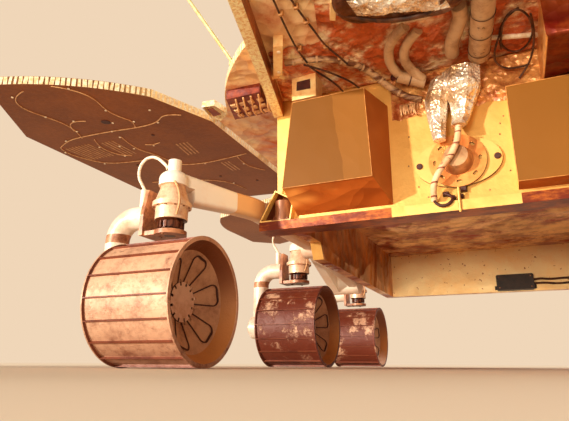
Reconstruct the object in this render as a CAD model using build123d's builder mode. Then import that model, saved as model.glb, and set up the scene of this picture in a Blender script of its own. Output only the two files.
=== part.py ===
# A six-wheeled planetary rover at its real size, in millimetres.
# +X is the rover's left, -Y its front end and +Z up. The origin lies on the ground,
# under the middle of the machine. "right" pieces are at -X and "left" pieces at +X.
import os
from math import radians, sin, tan

from build123d import *

os.makedirs("parts", exist_ok=True)

# Clearances
running_fit = 0.05
seat_gap = 0.2
bearing_gap = 0.3
moving_gap = 5.0

# Body: a foil-wrapped box with a wide cavity between its skirts
body_half_width = 395.0
body_front = -500.0
body_rear = 620.0
skirt_thickness = 30.0
skirt_z = 280.0
ceiling_z = 450.0
front_wall_z = 322.0
skirt_step_y = -270.0
skirt_step_length = 22.0
tie_hole_radius = 5.0
tie_hole_depth = 20.0
tie_spacing_y = 640.0
tie_centre_y = 150.0

# Bright lip along the foot of the front wall, and the pockets in its two corners
flange_z = 305.0
flange_rise = 21.0
flange_lip = 18.0
flange_edge = 5.0
flange_back = 40.0
flange_overhang = 41.0
pocket_depth = 30.0
pocket_wall = 3.0
pocket_corners = ((1.0, 401.0), (41.0, 326.0), (-38.0, 326.0), (-46.0, 374.0))
damper_radius = 21.0
damper_inset = 13.0
damper_height = 50.0
strip_top_z = 598.0
strip_top_width = 34.0
strip_foot_width = 12.0
post_x = 11.0
post_radius = 4.5
post_height = 22.0

# Wheels and axles
wheel_radius = 125.0
wheel_width = 195.0
wheel_gap = 55.0
wheel_skin = 3.0
front_axle_y = -705.0
middle_axle_y = 0.0
rear_axle_y = 705.0
rib_count = 18
rib_height = 5.0
rib_width = 2.6
rim_lip = 3.0
rim_cone_depth = 30.0
rim_cone_height = 25.0
dish_depth = 26.0
dish_skin = 3.0
hub_radius = 39.0
hub_thickness = 16.0
hub_notches = 12
notch_width = 5.0
notch_depth = 7.0
flexure_count = 6
flexure_width = 3.6
flexure_height = 3.0
flexure_margin = 7.0
flexure_bend = 13.0

# Wheel drives and the forks that hold them
drive_radius = 30.0
drive_taper = 8.0
drive_taper_length = 30.0
drive_shaft_radius = 15.0
drive_end = 172.0
drive_cap = 12.0
drive_cap_step = 3.0
neck_radius = 25.0
neck_offset = 138.0
neck_rise = 184.0
neck_bend = 48.0
collar_wall = 6.0
collar_width = 54.0
bracket_offset = 48.0
bracket_thickness = 9.0
bracket_width = 62.0
bracket_head = 36.0
bracket_waist = 45.0
bracket_top = 364.0
foot_bottom = 262.0
foot_thickness = 9.0
foot_radius = 34.0
gland_offset = 76.0
gland_radius = 8.0
gland_top = 372.0

# Steering drives, fixed under the ends of the suspension arms
steer_shaft_radius = 12.0
steer_gear_radius = 24.0
steer_gear_height = 14.0
steer_teeth = 14
tooth_height = 4.0
tooth_width = 4.5
steer_drum_radius = 34.0
steer_flange_radius = 41.0
steer_flange_rim = 4.0
steer_neck_radius = 25.0
drum_bottom = 295.0
flange_bottom = 322.0
flange_top = 332.0
arm_boss_bottom = 370.0

# Suspension arms
arm_boss_top = 402.0
arm_boss_radius = 31.0
arm_dome = 20.0
arm_neck_top = 429.0
arm_neck_radius = 14.0
rocker_gap = 45.0
rocker_z = 367.0
rocker_height = 50.0
rocker_thickness = 38.0
rocker_front_z = 369.0
rocker_front_height = 66.0
rocker_taper = 0.7
rocker_bend_y = -500.0
rocker_pivot_y = -100.0
rocker_pivot_radius = 44.0
rocker_bend = 120.0
arm_edge = 10.0
pivot_step = 8.0
bogie_gap = 29.0
bogie_pivot_y = 350.0
bogie_pivot_z = 310.0
bogie_pivot_radius = 42.0
bogie_height = 30.0
bogie_thickness = 30.0
bogie_level = 80.0
bogie_waist = 30.0
bogie_cap = 6.0

# Deck and wings
deck_z = 640.0
panel_thickness = 22.0
deck_half_width = 585.0
deck_front = -930.0
deck_rear = 760.0
deck_corner = 60.0
deck_shoulder = ((233.0, -752.0), (145.0, -672.0), (74.0, -572.0))
deck_notch = (40.0, -500.0)
deck_side_start = -470.0
hinge_gap = 21.0
hinge_inset = 3.0
hinge_radius = 6.0
hinge_pin_radius = 2.4
hinge_knuckle = 22.0
leaf_thickness = 2.0
leaf_width = 30.0
wing_tip_x = 1155.0
wing_tip_y = 930.0
wing_front_arc = ((480.0, -653.0), (345.0, -766.0), (145.0, -855.0))
wing_front_corners = ((97.0, -769.0), (0.0, -610.0), (0.0, 100.0))
wing_rear_arc = ((80.0, 358.0), (19.0, 471.0), (0.0, 620.0))
wing_rear_corners = ((0.0, 830.0), (114.0, wing_tip_y))

# Front face: hoods, shoulder plate and its fitting
hood_reach = 100.0
hood_base = ((124.0, 338.0), (346.0, 338.0), (346.0, 573.0), (124.0, 573.0))
hood_face = ((143.0, 372.0), (340.0, 372.0), (317.0, 573.0), (152.0, 573.0))
low_hood_reach = 42.0
low_hood_base = ((122.0, 338.0), (346.0, 338.0), (346.0, 545.0), (122.0, 545.0))
low_hood_face = ((122.0, 342.0), (344.0, 342.0), (344.0, 543.0), (122.0, 543.0))
bay_front = -680.0
bay_bottom = 550.0
bay_inner_x = 190.0
bay_outer_x = 330.0
bay_edge = 5.0
shoulder_x = 15.0
shoulder_z = 412.0
shoulder_half_width = 86.0
shoulder_half_height = 54.0
shoulder_thickness = 8.0
shoulder_hole_spacing = 154.0
shoulder_hole_radius = 4.5
ring_radius = 57.0
ring_thickness = 7.0
ring_slots = 8
ring_slot_radius = 45.0
ring_slot_length = 11.0
ring_slot_width = 6.0
cone_base = 32.0
cone_tip = 23.0
cone_reach = 30.0

# Rails, boxes, sensors and the cable work under the deck's front
rail_thickness = 24.0
rail_bottom = 600.0
rail_overhang = 13.0
rail_front_x = 299.0
rail_end = 6.0
canister_x = -34.0
canister_y = -800.0
canister_length = 230.0
canister_width = 112.0
canister_turn = 14.0
canister_bottom = 600.0
canister_edge = 18.0
box_height = 26.0
tray_height = 24.0
panel_box_height = 62.0
belly_sensor_x = 105.0
belly_sensor_z = 311.0
belly_sensor_width = 130.0
belly_sensor_height = 58.0
belly_sensor_depth = 38.0
rear_sensor_z = 560.0
rear_sensor_width = 220.0
rear_sensor_height = 60.0
rear_sensor_depth = 50.0
hose_radius = 21.0
branch_radius = 14.0
twin_radius = 10.0
sleeve_radius = 13.0
harness_radius = 7.5
strand_radius = 6.5
lead_radius = 3.5
bend_share = 0.45

# Mast with its camera head
mast_y = -770.0
mast_radius = 30.0
mast_root_radius = 42.0
mast_root_height = 120.0
mast_flange_radius = 70.0
mast_flange_height = 14.0
mast_top = 1340.0
head_radius = 42.0
head_height = 46.0
head_collar = 30.0
tilt_z = 1440.0
tilt_boss_radius = 18.0
tilt_pin_radius = 8.0
bar_half_width = 165.0
eye_width = 58.0
eye_height = 74.0
eye_depth = 92.0
lens_radius = 19.0
lens_reach = 26.0

# Antennas
antenna_x = 300.0
antenna_y = 480.0
antenna_post_radius = 20.0
antenna_foot_radius = 48.0
antenna_head_radius = 32.0
antenna_head_height = 20.0
antenna_post_top = 860.0
yoke_height = 62.0
yoke_width = 84.0
yoke_depth = 48.0
yoke_base = 14.0
yoke_cheek = 10.0
yoke_boss_radius = 18.0
dish_pin_radius = 7.0
dish_radius = 140.0
dish_sag = 34.0
dish_wall = 4.0
dish_offset = 40.0
low_gain_x = -300.0
low_gain_y = 560.0
low_gain_radius = 16.0
low_gain_foot = 30.0
low_gain_foot_height = 8.0
low_gain_top = 1040.0
rod_radius = 4.0
rod_length = 470.0
rod_inset = 153.0
rod_y = -672.0
rod_lean = (0.43, -0.46, 0.776)
rod_clamp = 26.0

# Sizes that follow from the ones above
deck_top = deck_z + panel_thickness
wing_edge = deck_half_width + hinge_gap
hinge_x = wing_edge - hinge_inset
hinge_z = deck_top + hinge_radius + leaf_thickness
half_width = wheel_width / 2
wheel_track = 2 * (body_half_width + wheel_gap) + wheel_width
skin_radius = wheel_radius - rib_height
rim_cone_radius = wheel_radius - rim_cone_height
hub_face = -half_width + rim_cone_depth + dish_depth
hub_back = hub_face + hub_thickness
rocker_x = body_half_width + rocker_gap + rocker_thickness / 2
bogie_seat = rocker_x + rocker_thickness / 2 + pivot_step
shelf_z = flange_z + flange_rise
shoulder_face = body_front - shoulder_thickness

SIDES = (("right", -1), ("left", 1))
AXLES = (("front", front_axle_y), ("middle", middle_axle_y), ("rear", rear_axle_y))


def save(part, name):
    """Label a finished piece and write it as its own file."""
    part.label = name
    export_step(part, f"parts/{name}.step")


def wheel_plane(side, axle_y):
    """A wheel's own plane: origin at its centre, first axis outboard, second axis up."""
    return Plane(origin=(side * wheel_track / 2, axle_y, wheel_radius), x_dir=(side, 0, 0), z_dir=(0, -side, 0))


def across_plane(side, axle_y, offset):
    """An upright plane square to the axle, offset outboard of the wheel's centre: first axis +Y, second +Z."""
    return Plane(origin=(side * (wheel_track / 2 + offset), axle_y, wheel_radius), x_dir=(0, 1, 0), z_dir=(1, 0, 0))


def side_plane(x):
    """An upright plane across the rover at x: first axis +Y, second axis +Z."""
    return Plane(origin=(x, 0, 0), x_dir=(0, 1, 0), z_dir=(1, 0, 0))


def upright_plane(x, y):
    """The plane of a turned part that stands at x, y: first axis +X, second axis +Z."""
    return Plane(origin=(x, y, 0), x_dir=(1, 0, 0), z_dir=(0, -1, 0))


def make_flexures(side, axle_y):
    """Six hairpin springs that lie on the dish, each from two notches of the hub out and back."""
    axle = Axis((side * wheel_track / 2, axle_y, wheel_radius), (side, 0, 0))
    rim_x = -half_width + rim_cone_depth
    hub_x = hub_face + dish_skin
    spread = 180 / hub_notches
    reach = rim_cone_radius - flexure_margin
    start = hub_radius - notch_depth
    with BuildPart() as flexures:
        for inset, mode in ((0, Mode.ADD), (flexure_width, Mode.SUBTRACT)):
            width = 2 * reach * tan(radians(spread)) + flexure_width - 2 * inset
            with BuildSketch(across_plane(side, axle_y, -half_width)) as outline:
                with PolarLocations((start + reach) / 2 - inset, flexure_count, start_angle=spread):
                    Trapezoid(width, reach - start, 90 - spread, rotation=90)
                outer = [v for v in outline.vertices() if Vector(v.X, v.Y).length > (start + reach) / 2]
                fillet(outer, flexure_bend - inset)
            extrude(amount=side * (hub_x + dish_skin + half_width), mode=mode)
        with BuildSketch(wheel_plane(side, axle_y)):
            with BuildLine():
                Polyline(
                    (rim_x - flexure_height, rim_cone_radius),
                    (hub_x - flexure_height, hub_radius),
                    (hub_x + dish_skin / 2, hub_radius),
                    (rim_x + dish_skin / 2, rim_cone_radius),
                    close=True,
                )
            make_face()
        revolve(axis=axle, mode=Mode.INTERSECT)
    return flexures.part


def make_wheel(name, side, axle_y):
    """Ribbed drum with a coned rim, a dished face with hairpin flexures, and a notched hub."""
    axle = Axis((side * wheel_track / 2, axle_y, wheel_radius), (side, 0, 0))
    inner_skin = skin_radius - wheel_skin
    rim_x = -half_width + rim_cone_depth
    hub_x = hub_face + dish_skin
    flexures = make_flexures(side, axle_y)
    with BuildPart() as wheel:
        with BuildSketch(wheel_plane(side, axle_y)):
            with BuildLine():
                Polyline(
                    (-half_width, wheel_radius),
                    (-half_width + rim_lip, wheel_radius),
                    (-half_width + 2 * rim_lip, skin_radius),
                    (half_width - 2 * rim_lip, skin_radius),
                    (half_width - rim_lip, wheel_radius),
                    (half_width, wheel_radius),
                    (half_width, inner_skin),
                    (rim_x + dish_skin, inner_skin),
                    (rim_x + dish_skin, rim_cone_radius),
                    (hub_x + dish_skin, hub_radius),
                    (hub_back, hub_radius),
                    (hub_back, drive_shaft_radius + running_fit),
                    (hub_x, drive_shaft_radius + running_fit),
                    (hub_x, 0),
                    (hub_face, 0),
                    (hub_face, hub_radius),
                    (hub_x, hub_radius),
                    (rim_x, rim_cone_radius),
                    (-half_width, inner_skin),
                    close=True,
                )
            make_face()
        revolve(axis=axle)
        with BuildSketch(across_plane(side, axle_y, -half_width)):
            with PolarLocations((skin_radius + wheel_radius) / 2 - wheel_skin / 4, rib_count):
                Rectangle(rib_height + wheel_skin / 2, rib_width)
        extrude(amount=side * wheel_width)
        with BuildSketch(across_plane(side, axle_y, hub_face)):
            with PolarLocations(hub_radius, hub_notches, start_angle=180 / hub_notches):
                Rectangle(2 * notch_depth, notch_width)
        extrude(amount=side * dish_skin, mode=Mode.SUBTRACT)
        add(flexures)
    save(wheel.part, name)


def make_drive(name, side, axle_y):
    """Motor and gearbox tube that enters the drum from outboard and turns the hub."""
    axle = Axis((side * wheel_track / 2, axle_y, wheel_radius), (side, 0, 0))
    shaft_end = hub_face + dish_skin + bearing_gap
    tube_start = hub_back + moving_gap
    with BuildPart() as drive:
        with BuildSketch(wheel_plane(side, axle_y)):
            with BuildLine():
                Polyline(
                    (shaft_end, 0),
                    (shaft_end, drive_shaft_radius),
                    (tube_start, drive_shaft_radius),
                    (tube_start, drive_radius - drive_taper),
                    (tube_start + drive_taper_length, drive_radius),
                    (drive_end - drive_cap, drive_radius),
                    (drive_end - drive_cap, drive_radius - drive_cap_step),
                    (drive_end, drive_radius - drive_cap_step),
                    (drive_end, 0),
                    close=True,
                )
            make_face()
        revolve(axis=axle)
    save(drive.part, name)


def make_fork(name, side, axle_y):
    """Gooseneck from the drive's collar over the wheel to the bracket under the steering drive."""
    foot_x = side * wheel_track / 2
    collar_radius = drive_radius + collar_wall
    collar_start = neck_offset - collar_width / 2
    foot_reach = bracket_offset + bracket_thickness
    low = foot_bottom - wheel_radius
    waist = low + bracket_waist
    top = bracket_top - wheel_radius
    with BuildPart() as fork:
        with BuildLine(wheel_plane(side, axle_y)) as route:
            FilletPolyline(
                (neck_offset, drive_radius + collar_wall / 2),
                (neck_offset, neck_rise),
                (bracket_offset + bracket_thickness / 2, neck_rise),
                radius=neck_bend,
            )
        with BuildSketch(Plane(origin=route.line @ 0, z_dir=route.line % 0)):
            Circle(neck_radius)
        sweep(path=route.line)
        with BuildSketch(across_plane(side, axle_y, collar_start)):
            Circle(collar_radius)
        extrude(amount=side * collar_width)
        with BuildSketch(across_plane(side, axle_y, collar_start)):
            Circle(drive_radius + seat_gap)
        extrude(amount=side * collar_width, mode=Mode.SUBTRACT)
        with BuildSketch(across_plane(side, axle_y, bracket_offset)):
            with BuildLine():
                Polyline(
                    (-bracket_width / 2, low),
                    (bracket_width / 2, low),
                    (bracket_width / 2, waist),
                    (bracket_head / 2, top),
                    (-bracket_head / 2, top),
                    (-bracket_width / 2, waist),
                    close=True,
                )
            make_face()
        extrude(amount=side * bracket_thickness)
        with BuildSketch(Plane.XY.offset(foot_bottom)):
            with Locations((foot_x, axle_y)):
                Circle(foot_radius)
            with Locations((foot_x + side * foot_reach / 2, axle_y)):
                Rectangle(foot_reach, bracket_width - foot_thickness)
            with Locations((foot_x, axle_y)):
                Circle(steer_shaft_radius + running_fit, mode=Mode.SUBTRACT)
        extrude(amount=foot_thickness)
        with BuildSketch(Plane.XY.offset(wheel_radius + neck_rise)):
            with Locations((foot_x + side * gland_offset, axle_y)):
                Circle(gland_radius)
        extrude(amount=gland_top - wheel_radius - neck_rise)
    save(fork.part, name)


def make_steering_drives(name, side):
    """The three fixed steering drives of one side, each a flanged bell over a toothed gear and shaft."""
    centre_x = side * wheel_track / 2
    shaft_end = foot_bottom + bearing_gap
    gear_bottom = foot_bottom + foot_thickness + moving_gap + bearing_gap
    gear_top = gear_bottom + steer_gear_height
    with BuildPart() as drives:
        for axle_name, axle_y in AXLES:
            with BuildSketch(upright_plane(centre_x, axle_y)):
                with BuildLine():
                    Polyline(
                        (0, shaft_end),
                        (steer_shaft_radius, shaft_end),
                        (steer_shaft_radius, gear_bottom),
                        (steer_gear_radius, gear_bottom),
                        (steer_gear_radius, gear_top),
                        (steer_drum_radius, drum_bottom),
                        (steer_drum_radius, flange_bottom),
                        (steer_flange_radius, flange_bottom),
                        (steer_flange_radius, flange_top),
                        (steer_flange_radius - steer_flange_rim, flange_top),
                        (steer_neck_radius, arm_boss_bottom),
                        (0, arm_boss_bottom),
                        close=True,
                    )
                make_face()
            revolve(axis=Axis((centre_x, axle_y, 0), (0, 0, 1)))
            with BuildSketch(Plane.XY.offset(gear_bottom)):
                with Locations((centre_x, axle_y)):
                    with PolarLocations(steer_gear_radius, steer_teeth):
                        Rectangle(2 * tooth_height, tooth_width)
            extrude(amount=steer_gear_height)
    save(drives.part, name)


def add_arm_end(side, axle_y):
    """Domed boss over a steering drive, with the neck that the drive's cable leaves."""
    rise = arm_boss_radius - arm_neck_radius
    with BuildSketch(upright_plane(side * wheel_track / 2, axle_y)) as section:
        with BuildLine():
            Polyline((0, arm_boss_bottom), (arm_boss_radius, arm_boss_bottom), (arm_boss_radius, arm_boss_top - arm_dome))
            ThreePointArc(
                (arm_boss_radius, arm_boss_top - arm_dome),
                (arm_neck_radius + rise * sin(radians(45)), arm_boss_top - arm_dome * (1 - sin(radians(45)))),
                (arm_neck_radius, arm_boss_top),
            )
            Polyline((arm_neck_radius, arm_boss_top), (arm_neck_radius, arm_neck_top), (0, arm_neck_top), (0, arm_boss_bottom))
        make_face()
    revolve(section.sketch, axis=Axis((side * wheel_track / 2, axle_y, 0), (0, 0, 1)))


def cut_pad(side, axle_y):
    """Flat seat under an arm's end, clear of the steering drive that is bolted to it."""
    with BuildSketch(Plane.XY.offset(arm_boss_bottom - rocker_front_height)) as pad:
        with Locations((side * wheel_track / 2, axle_y)):
            Circle(steer_flange_radius + moving_gap)
    extrude(pad.sketch, amount=rocker_front_height, mode=Mode.SUBTRACT)


def make_rocker(name, side):
    """Box-section arm from the front wheel, past its pivot on the body's side, back to the bogie."""
    start = Vector(side * wheel_track / 2, front_axle_y, rocker_z)
    bend = Vector(side * rocker_x, rocker_bend_y, rocker_z)
    waist = start + (bend - start) * rocker_taper
    ahead = (bend - start).normalized()
    with BuildPart() as rocker:
        with BuildSketch(Plane(origin=(start.X, start.Y, rocker_front_z), x_dir=(0, 0, 1), z_dir=ahead)):
            RectangleRounded(rocker_front_height, rocker_thickness, arm_edge)
        with BuildSketch(Plane(origin=waist, x_dir=(0, 0, 1), z_dir=ahead)):
            RectangleRounded(rocker_height, rocker_thickness, arm_edge)
        loft()
        with BuildLine() as route:
            FilletPolyline(
                waist,
                bend,
                (side * rocker_x, rocker_pivot_y, rocker_z),
                (side * rocker_x, bogie_pivot_y, bogie_pivot_z),
                radius=rocker_bend,
            )
        with BuildSketch(Plane(origin=waist, x_dir=(0, 0, 1), z_dir=ahead)) as section:
            RectangleRounded(rocker_height, rocker_thickness, arm_edge)
        sweep(section.sketch, path=route.line)
        cut_pad(side, front_axle_y)
        add_arm_end(side, front_axle_y)
        with BuildSketch(side_plane(side * body_half_width)):
            with Locations((rocker_pivot_y, rocker_z)):
                Circle(rocker_pivot_radius)
        extrude(amount=side * (rocker_x + rocker_thickness / 2 + pivot_step - body_half_width))
        with BuildSketch(side_plane(side * (rocker_x - rocker_thickness / 2))):
            with Locations((bogie_pivot_y, bogie_pivot_z)):
                Circle(bogie_pivot_radius)
        extrude(amount=side * (rocker_thickness + pivot_step))
    save(rocker.part, name)


def make_bogie(name, side):
    """Tapered plate arm that carries the middle and rear wheels, hung on the rocker's end."""
    arm_top = arm_boss_bottom + bogie_height
    hub_low = bogie_pivot_z - bogie_pivot_radius + pivot_step
    hub_high = bogie_pivot_z + bogie_pivot_radius - bogie_cap / 2
    with BuildPart() as bogie:
        with BuildSketch(side_plane(side * (bogie_seat + bogie_gap))) as plate:
            with BuildLine():
                Polyline(
                    (middle_axle_y, arm_boss_bottom),
                    (middle_axle_y + bogie_level, arm_boss_bottom),
                    (bogie_pivot_y - bogie_waist, hub_low),
                    (bogie_pivot_y + bogie_waist, hub_low),
                    (rear_axle_y - bogie_level, arm_boss_bottom),
                    (rear_axle_y, arm_boss_bottom),
                    (rear_axle_y, arm_top),
                    (rear_axle_y - bogie_level, arm_top),
                    (bogie_pivot_y + bogie_waist, hub_high),
                    (bogie_pivot_y - bogie_waist, hub_high),
                    (middle_axle_y + bogie_level, arm_top),
                    (middle_axle_y, arm_top),
                    close=True,
                )
            make_face()
        extrude(amount=side * bogie_thickness)
        for axle_y in (middle_axle_y, rear_axle_y):
            cut_pad(side, axle_y)
            add_arm_end(side, axle_y)
        with BuildSketch(side_plane(side * bogie_seat)):
            with Locations((bogie_pivot_y, bogie_pivot_z)):
                Circle(bogie_pivot_radius)
        extrude(amount=side * (bogie_gap + bogie_thickness + bogie_cap))
    save(bogie.part, name)


def pocket_outline(side):
    """Corners of a front corner's pocket on the front face, from its inset and height table."""
    corners = [(side * (body_half_width + inset), z) for inset, z in pocket_corners]
    return corners if side < 0 else corners[:1] + corners[:0:-1]


def make_body():
    """Foil-wrapped body: front wall, side skirts and rear wall around a wide cavity under the floor."""
    cavity_width = 2 * (body_half_width - skirt_thickness)
    cavity_length = body_rear - body_front - 2 * skirt_thickness
    with BuildPart() as body:
        with BuildSketch(side_plane(-body_half_width)):
            with BuildLine():
                Polyline(
                    (body_front, front_wall_z),
                    (body_front, deck_z),
                    (body_rear, deck_z),
                    (body_rear, skirt_z),
                    (skirt_step_y, skirt_z),
                    (skirt_step_y - skirt_step_length, front_wall_z),
                    close=True,
                )
            make_face()
        extrude(amount=2 * body_half_width)
        with BuildSketch(Plane.XY.offset(skirt_z)):
            with Locations((0, (body_front + body_rear) / 2)):
                Rectangle(cavity_width, cavity_length)
        extrude(amount=ceiling_z - skirt_z, mode=Mode.SUBTRACT)
        with BuildSketch(Plane.XY.offset(skirt_z)):
            with Locations((0, tie_centre_y)):
                with GridLocations(2 * body_half_width - skirt_thickness, tie_spacing_y, 2, 2):
                    Circle(tie_hole_radius)
        extrude(amount=tie_hole_depth, mode=Mode.SUBTRACT)
        for side_name, side in SIDES:
            with BuildSketch(Plane.XZ.offset(-body_front)) as pocket:
                with BuildLine():
                    Polyline(*pocket_outline(side), close=True)
                make_face()
            extrude(pocket.sketch, amount=-pocket_depth, mode=Mode.SUBTRACT)
    save(body.part, "body")


def make_flange():
    """Bright lip along the foot of the front face, with the small post that stands on its shelf."""
    half_length = body_half_width + flange_overhang
    lip_y = body_front - flange_lip
    with BuildPart() as flange:
        with BuildSketch(side_plane(-half_length)):
            with BuildLine():
                Polyline(
                    (lip_y, flange_z),
                    (lip_y, shelf_z),
                    (lip_y + flange_edge, shelf_z),
                    (lip_y + flange_edge, front_wall_z),
                    (body_front + flange_back, front_wall_z),
                    (body_front + flange_back, flange_z),
                    close=True,
                )
            make_face()
        extrude(amount=2 * half_length)
        with BuildSketch(Plane.XY.offset(front_wall_z)):
            with Locations((post_x, body_front - seat_gap - post_radius)):
                Circle(post_radius)
        extrude(amount=post_height)
    save(flange.part, "front_flange")


def make_hood(name, side, reach, base, face):
    """Hood that stands out of the front face over the instruments behind it."""
    with BuildPart() as hood:
        with BuildSketch(Plane.XZ.offset(-body_front)):
            with BuildLine():
                Polyline(*[(side * x, z) for x, z in base], close=True)
            make_face()
        with BuildSketch(Plane.XZ.offset(-body_front + reach)):
            with BuildLine():
                Polyline(*[(side * x, z) for x, z in face], close=True)
            make_face()
        loft()
    save(hood.part, name)


def make_bay():
    """Instrument bay hung under the deck above the left hood, with softened lower edges."""
    with BuildPart() as bay:
        with BuildSketch(Plane.XY.offset(bay_bottom)):
            with BuildLine():
                Polyline(
                    (bay_inner_x, bay_front),
                    (bay_outer_x, bay_front),
                    (bay_outer_x, body_front - seat_gap),
                    (bay_inner_x, body_front - seat_gap),
                    close=True,
                )
            make_face()
        extrude(amount=deck_z - bay_bottom)
        fillet(bay.faces().sort_by(Axis.Z)[0].edges(), bay_edge)
    save(bay.part, "front_bay")


def make_shoulder():
    """Oval plate with two bolt holes, and on it the slotted ring with a coned fitting."""
    with BuildPart() as plate:
        with BuildSketch(Plane.XZ.offset(-body_front)):
            with Locations((shoulder_x, shoulder_z)):
                Ellipse(shoulder_half_width, shoulder_half_height)
                with GridLocations(shoulder_hole_spacing, 1, 2, 1):
                    Circle(shoulder_hole_radius, mode=Mode.SUBTRACT)
        extrude(amount=shoulder_thickness)
    save(plate.part, "shoulder_plate")
    centre = (shoulder_x, shoulder_face, shoulder_z)
    with BuildPart() as fitting:
        with BuildSketch(Plane(origin=centre, x_dir=(0, -1, 0), z_dir=(-1, 0, 0))):
            with BuildLine():
                Polyline(
                    (0, 0),
                    (0, ring_radius),
                    (ring_thickness, ring_radius),
                    (ring_thickness, cone_base),
                    (ring_thickness + cone_reach, cone_tip),
                    (ring_thickness + cone_reach, 0),
                    close=True,
                )
            make_face()
        revolve(axis=Axis(centre, (0, -1, 0)))
        with BuildSketch(Plane.XZ.offset(-shoulder_face)):
            with Locations((shoulder_x, shoulder_z)):
                with PolarLocations(ring_slot_radius, ring_slots):
                    SlotOverall(ring_slot_length, ring_slot_width, rotation=90)
        extrude(amount=ring_thickness, mode=Mode.SUBTRACT)
    save(fitting.part, "shoulder_fitting")


def make_corner(name, side):
    """Open-fronted frame in a lower front corner around an upright damper, and the strip above it."""
    depth = flange_lip + pocket_depth
    edge_x, apex_z = pocket_outline(side)[0]
    with BuildPart() as corner:
        with BuildSketch(Plane.XZ.offset(-body_front - pocket_depth)):
            with BuildLine():
                Polyline(*pocket_outline(side), close=True)
            make_face()
        extrude(amount=depth)
        with BuildSketch(Plane.XZ.offset(-body_front - pocket_depth + pocket_wall)):
            with BuildLine():
                Polyline(*pocket_outline(side), close=True)
            make_face()
            offset(amount=-pocket_wall, kind=Kind.INTERSECTION, mode=Mode.REPLACE)
        extrude(amount=depth, mode=Mode.SUBTRACT)
        with BuildSketch(Plane.XY.offset(shelf_z)):
            with Locations((side * (body_half_width - damper_inset), body_front - flange_lip + damper_radius)):
                Circle(damper_radius)
        extrude(amount=damper_height)
        with BuildSketch(Plane.XZ.offset(-body_front + seat_gap)):
            with BuildLine():
                Polyline(
                    (edge_x, apex_z - pocket_wall),
                    (edge_x + side * pocket_wall, strip_top_z),
                    (edge_x - side * strip_top_width, strip_top_z),
                    (edge_x - side * strip_foot_width, apex_z - pocket_wall),
                    close=True,
                )
            make_face()
        extrude(amount=pocket_wall)
    save(corner.part, name)


def make_rails():
    """Two sandwich panels under the deck's overhang, from the body's corners forward."""
    foot_x = body_half_width + rail_overhang
    with BuildPart() as rails:
        for side_name, side in SIDES:
            with BuildSketch(Plane.XY.offset(rail_bottom)):
                with BuildLine():
                    Polyline(
                        (side * foot_x, body_front - seat_gap),
                        (side * (foot_x - rail_thickness), body_front - seat_gap),
                        (side * (rail_front_x - rail_thickness), deck_front + rail_end),
                        (side * rail_front_x, deck_front + rail_end),
                        close=True,
                    )
                make_face()
            extrude(amount=deck_z - rail_bottom)
    save(rails.part, "front_rails")


# The wings: name, lowest Y and highest Y of the inner edge, and the Y of each hinge
WINGS = (
    ("front", -480.0, 150.0, (-430.0, -150.0, 110.0)),
    ("rear", 172.0, 720.0, (220.0, 440.0, 660.0)),
)


def add_hinge(side, hinge_y, swings):
    """One side of a barrel hinge: the middle knuckle if it swings, else the two outer ones."""
    away = side if swings else -side
    reach = leaf_width if swings else leaf_width + hinge_gap
    centres = (hinge_y,) if swings else (hinge_y - hinge_knuckle, hinge_y + hinge_knuckle)
    length = hinge_knuckle - 2 * bearing_gap
    web = hinge_radius / 2
    for centre in centres:
        start = Plane(origin=(0, centre - length / 2, 0), x_dir=(1, 0, 0), z_dir=(0, 1, 0))
        with BuildSketch(start) as section:
            with Locations((side * hinge_x, -hinge_z)):
                Circle(hinge_radius)
            with Locations((side * hinge_x + away * (web + reach / 2), -(deck_top + leaf_thickness / 2))):
                Rectangle(reach, leaf_thickness)
            with Locations((side * hinge_x + away * (web + web / 2), -(deck_top + hinge_z) / 2)):
                Rectangle(web, hinge_z - deck_top)
            if swings:
                with Locations((side * hinge_x, -hinge_z)):
                    Circle(hinge_pin_radius + running_fit, mode=Mode.SUBTRACT)
        extrude(section.sketch, amount=length)
    if not swings:
        span = 3 * hinge_knuckle - 2 * bearing_gap
        with BuildSketch(Plane(origin=(0, hinge_y - span / 2, 0), x_dir=(1, 0, 0), z_dir=(0, 1, 0))) as pin:
            with Locations((side * hinge_x, -hinge_z)):
                Circle(hinge_pin_radius)
        extrude(pin.sketch, amount=span)


def make_deck():
    """Sandwich deck over the body, pointed in front, with the wings' fixed hinge leaves."""
    with BuildPart() as deck:
        with BuildSketch(Plane.XY.offset(deck_z)):
            for side_name, side in SIDES:
                shoulder = [(side * (deck_half_width - inset), y) for inset, y in deck_shoulder]
                with BuildLine():
                    Polyline((0, deck_front), (side * (rail_front_x + 1), deck_front), shoulder[0])
                    ThreePointArc(*shoulder)
                    Polyline(
                        shoulder[2],
                        (side * (deck_half_width - deck_notch[0]), deck_notch[1]),
                        (side * deck_half_width, deck_side_start),
                        (side * deck_half_width, deck_rear - deck_corner),
                        (side * (deck_half_width - deck_corner), deck_rear),
                        (0, deck_rear),
                        (0, deck_front),
                    )
                make_face()
        extrude(amount=panel_thickness)
        for side_name, side in SIDES:
            for wing_name, low, high, hinges in WINGS:
                for hinge_y in hinges:
                    add_hinge(side, hinge_y, False)
    save(deck.part, "deck")


def make_wing(name, side, wing):
    """Honeycomb solar wing, hinged on the deck's side edge and folding upwards."""
    wing_name, low, high, hinges = wing
    inner = side * wing_edge
    arc_table, corner_table = (wing_front_arc, wing_front_corners)
    if wing_name == "rear":
        arc_table, corner_table = (wing_rear_arc, wing_rear_corners)
    arc = [(side * (wing_tip_x - inset), y) for inset, y in arc_table]
    corners = [(side * (wing_tip_x - inset), y) for inset, y in corner_table]
    with BuildPart() as panel:
        with BuildSketch(Plane.XY.offset(deck_z)):
            with BuildLine():
                Line((inner, low), arc[0])
                ThreePointArc(*arc)
                Polyline(arc[2], *corners, (inner, high), (inner, low))
            make_face()
        extrude(amount=panel_thickness)
        for hinge_y in hinges:
            add_hinge(side, hinge_y, True)
    save(panel.part, name)


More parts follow.
